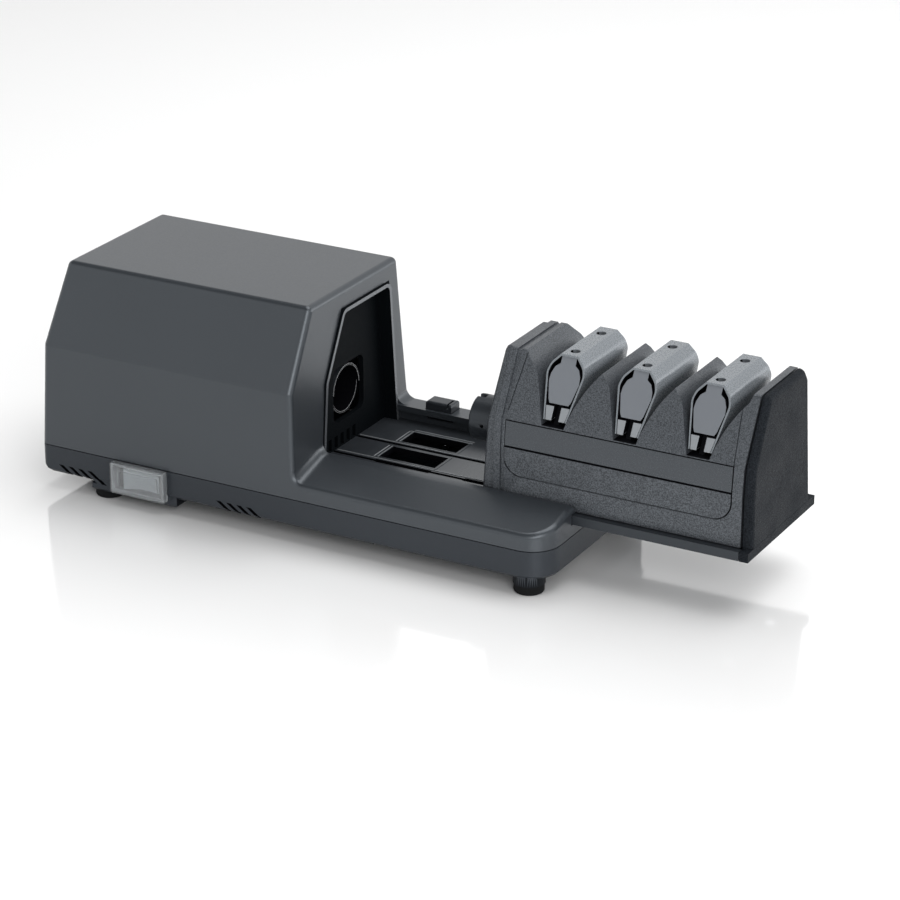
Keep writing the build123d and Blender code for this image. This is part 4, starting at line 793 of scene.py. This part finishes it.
def make_slide_ribs():
    """Two long ribs beside the floor grooves and the raised lines round the windows, coloured light
    as a painted highlight.
    """
    solid = bmesh.new()

    def raised(left, right, front, back):
        block(solid, (left, front, LINE_FOOT), (right, back, LINE_TOP))

    for front in RIB_FRONTS:
        raised(RIB_LEFT, RIB_RIGHT, front, front + RIB_WIDTH)
    for front, back in SIDE_LINES:
        for left in (INNER_LINE_X, OUTER_LINE_X):
            raised(left, left + LINE_WIDTH, front, back)
    for left, front in BACK_LINES:
        raised(left, BACK_LINES_RIGHT, front, front + LINE_WIDTH)
    floor_level = at(0, 0, FLOOR).z
    upper = [edge for edge in solid.edges if min(vert.co.z for vert in edge.verts) > floor_level]
    bevel(solid, upper, LINE_ROUND)
    make_piece("slide_ribs", solid, "base", rib_painted_highlight)


def make_switch_cap():
    """The soft see-through cap: a box open at the back, with two shallow steps in its face."""
    low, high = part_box("switch_cover")
    solid = bmesh.new()
    faces = sorted(
        block(solid, working(low), working(high)),
        key=lambda item: item.calc_center_median().y,
    )
    face, rear = faces[0], faces[-1]
    bmesh.ops.delete(solid, geom=[rear], context="FACES_ONLY")
    for width, depth in CAP_RINGS:
        bmesh.ops.inset_region(solid, faces=[face], thickness=width / MM, use_even_offset=True)
        bmesh.ops.translate(solid, verts=face.verts, vec=(0.0, depth / MM, 0.0))
    inner = [edge for edge in solid.edges if not edge.is_boundary]
    bevel(solid, inner, CAP_ROUND, segments=3, clamp_overlap=True)
    bmesh.ops.recalc_face_normals(solid, faces=solid.faces)
    bmesh.ops.solidify(solid, geom=solid.faces[:], thickness=CAP_WALL / MM)
    clear = "clear_cover"
    make_piece("switch_cap", solid, "base", finishes[clear], stands_for="switch_cover")


def let_catch_spring_shorten():
    """Give the coil under the release catch its own copy of its mesh."""
    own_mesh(frame["nodes"]["catch_spring"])


make_slide_ribs()
make_switch_cap()
let_catch_spring_shorten()


# ---- floor, backdrop and lamps ----
WHITE = (1.0, 1.0, 1.0, 1.0)
FLOOR_HALF = 6.0
FLOOR_MATT = (0.97, 0.97, 0.97, 1.0)
FLOOR_GLOSS = (0.99, 0.99, 0.99, 1.0)
FLOOR_GLOSS_ROUGHNESS = 0.09

# The floor mirrors this share beside the footprint and over the fade it falls to the far share.
FOOTPRINT_HALF = (0.17, 0.05, 0.0)
NEAR_MIRROR, FAR_MIRROR, MIRROR_FADE = 0.25, 0.02, 0.18

# The world's strength as light, and as seen: white up to a height, then darker overhead.
FILL_LIGHT = 0.42
OVERHEAD = 0.1
CEILING_START, CEILING_END = 0.50, 0.74


def polished_floor():
    """White floor that mirrors what stands on it, and does so less further from the footprint."""
    material = bpy.data.materials.new("floor_white")
    material.use_nodes = True
    floor = Nodes(material.node_tree)
    floor.tree.nodes.remove(floor.tree.nodes["Principled BSDF"])
    place = floor.node("ShaderNodeTexCoord").outputs["Object"]
    beyond = floor.vector("SUBTRACT", floor.vector("ABSOLUTE", place), FOOTPRINT_HALF)
    outside = floor.vector("MAXIMUM", beyond, (0.0, 0.0, 0.0))
    away = floor.node("ShaderNodeVectorMath", {0: outside}, operation="LENGTH").outputs["Value"]
    mirror = floor.span(
        away, NEAR_MIRROR, FAR_MIRROR, 0.0, MIRROR_FADE, interpolation_type="SMOOTHSTEP"
    )
    matt = floor.node("ShaderNodeBsdfDiffuse", {"Color": FLOOR_MATT}).outputs["BSDF"]
    polish = {"Color": FLOOR_GLOSS, "Roughness": FLOOR_GLOSS_ROUGHNESS}
    gloss = floor.node("ShaderNodeBsdfGlossy", polish).outputs["BSDF"]
    both = floor.node("ShaderNodeMixShader", {0: mirror, 1: matt, 2: gloss}).outputs["Shader"]
    floor.link(both, floor.tree.nodes["Material Output"].inputs["Surface"])
    return material


def make_floor():
    grid = bmesh.new()
    bmesh.ops.create_grid(grid, x_segments=1, y_segments=1, size=FLOOR_HALF)
    mesh = bpy.data.meshes.new("floor")
    grid.to_mesh(mesh)
    grid.free()
    floor = add_to_scene("floor", mesh)
    mesh.materials.append(polished_floor())


def make_world():
    """An even fill light that the camera, mirrors and see-through pieces see as a white room."""
    world = bpy.data.worlds.new("studio")
    bpy.context.scene.world = world
    world.use_nodes = True
    room = Nodes(world.node_tree)
    ray = room.node("ShaderNodeLightPath").outputs
    seen = room.larger(ray["Is Camera Ray"], ray["Is Glossy Ray"])
    seen = room.larger(seen, ray["Is Transmission Ray"])
    direction = room.node("ShaderNodeTexCoord").outputs["Generated"]
    height = room.node("ShaderNodeSeparateXYZ", {"Vector": direction}).outputs["Z"]
    ceiling = room.span(
        height, 1.0, OVERHEAD, CEILING_START, CEILING_END, interpolation_type="SMOOTHSTEP"
    )
    sky = room.tree.nodes["Background"]
    sky.inputs["Color"].default_value = WHITE
    room.link(room.span(seen, FILL_LIGHT, ceiling, 0.0, 1.0), sky.inputs["Strength"])


def look_along(thing, direction):
    """Turn a lamp or camera to look in a direction."""
    thing.rotation_mode = "QUATERNION"
    thing.rotation_quaternion = direction.to_track_quat("-Z", "Y")


def softbox(name, place, aim, width, height, power):
    """A rectangular lamp, in metres and watts, that points at its aim."""
    lamp = bpy.data.lights.new(name, "AREA")
    lamp.shape = "RECTANGLE"
    lamp.size, lamp.size_y = width, height
    lamp.energy = power
    piece = add_to_scene(name, lamp)
    piece.location = place
    look_along(piece, Vector(aim) - Vector(place))


make_floor()
make_world()
softbox("top_softbox", (0.25, 0.35, 1.5), (0.0, 0.0, 0.05), width=1.6, height=1.2, power=19.0)
softbox("front_softbox", (1.1, -1.2, 0.8), (0.0, 0.0, 0.05), width=1.0, height=1.0, power=12.0)
softbox("side_softbox", (1.3, 1.0, 0.35), (0.0, 0.0, 0.06), width=1.0, height=0.6, power=6.0)


# ---- camera ----
# Angles round the sharpener from its front and above its floor, and metres from the aim.
AZIMUTH, ELEVATION = math.radians(28.84), math.radians(22.83)
CAMERA_AIM = Vector((0.0153, -0.0050, 0.0376))
CAMERA_DISTANCE = 1.4719
FOCAL_LENGTH, SENSOR_WIDTH = 131.63, 36.0
CLIP_START, CLIP_END = 0.05, 30.0


def make_camera():
    towards_camera = Vector((
        math.sin(AZIMUTH) * math.cos(ELEVATION),
        -math.cos(AZIMUTH) * math.cos(ELEVATION),
        math.sin(ELEVATION),
    ))
    lens = bpy.data.cameras.new("camera")
    lens.lens = FOCAL_LENGTH
    lens.sensor_width = SENSOR_WIDTH
    lens.clip_start, lens.clip_end = CLIP_START, CLIP_END
    camera = add_to_scene("camera", lens)
    camera.location = CAMERA_AIM + towards_camera * CAMERA_DISTANCE
    look_along(camera, -towards_camera)
    bpy.context.scene.camera = camera


make_camera()
bpy.context.scene.view_settings.view_transform = "Standard"
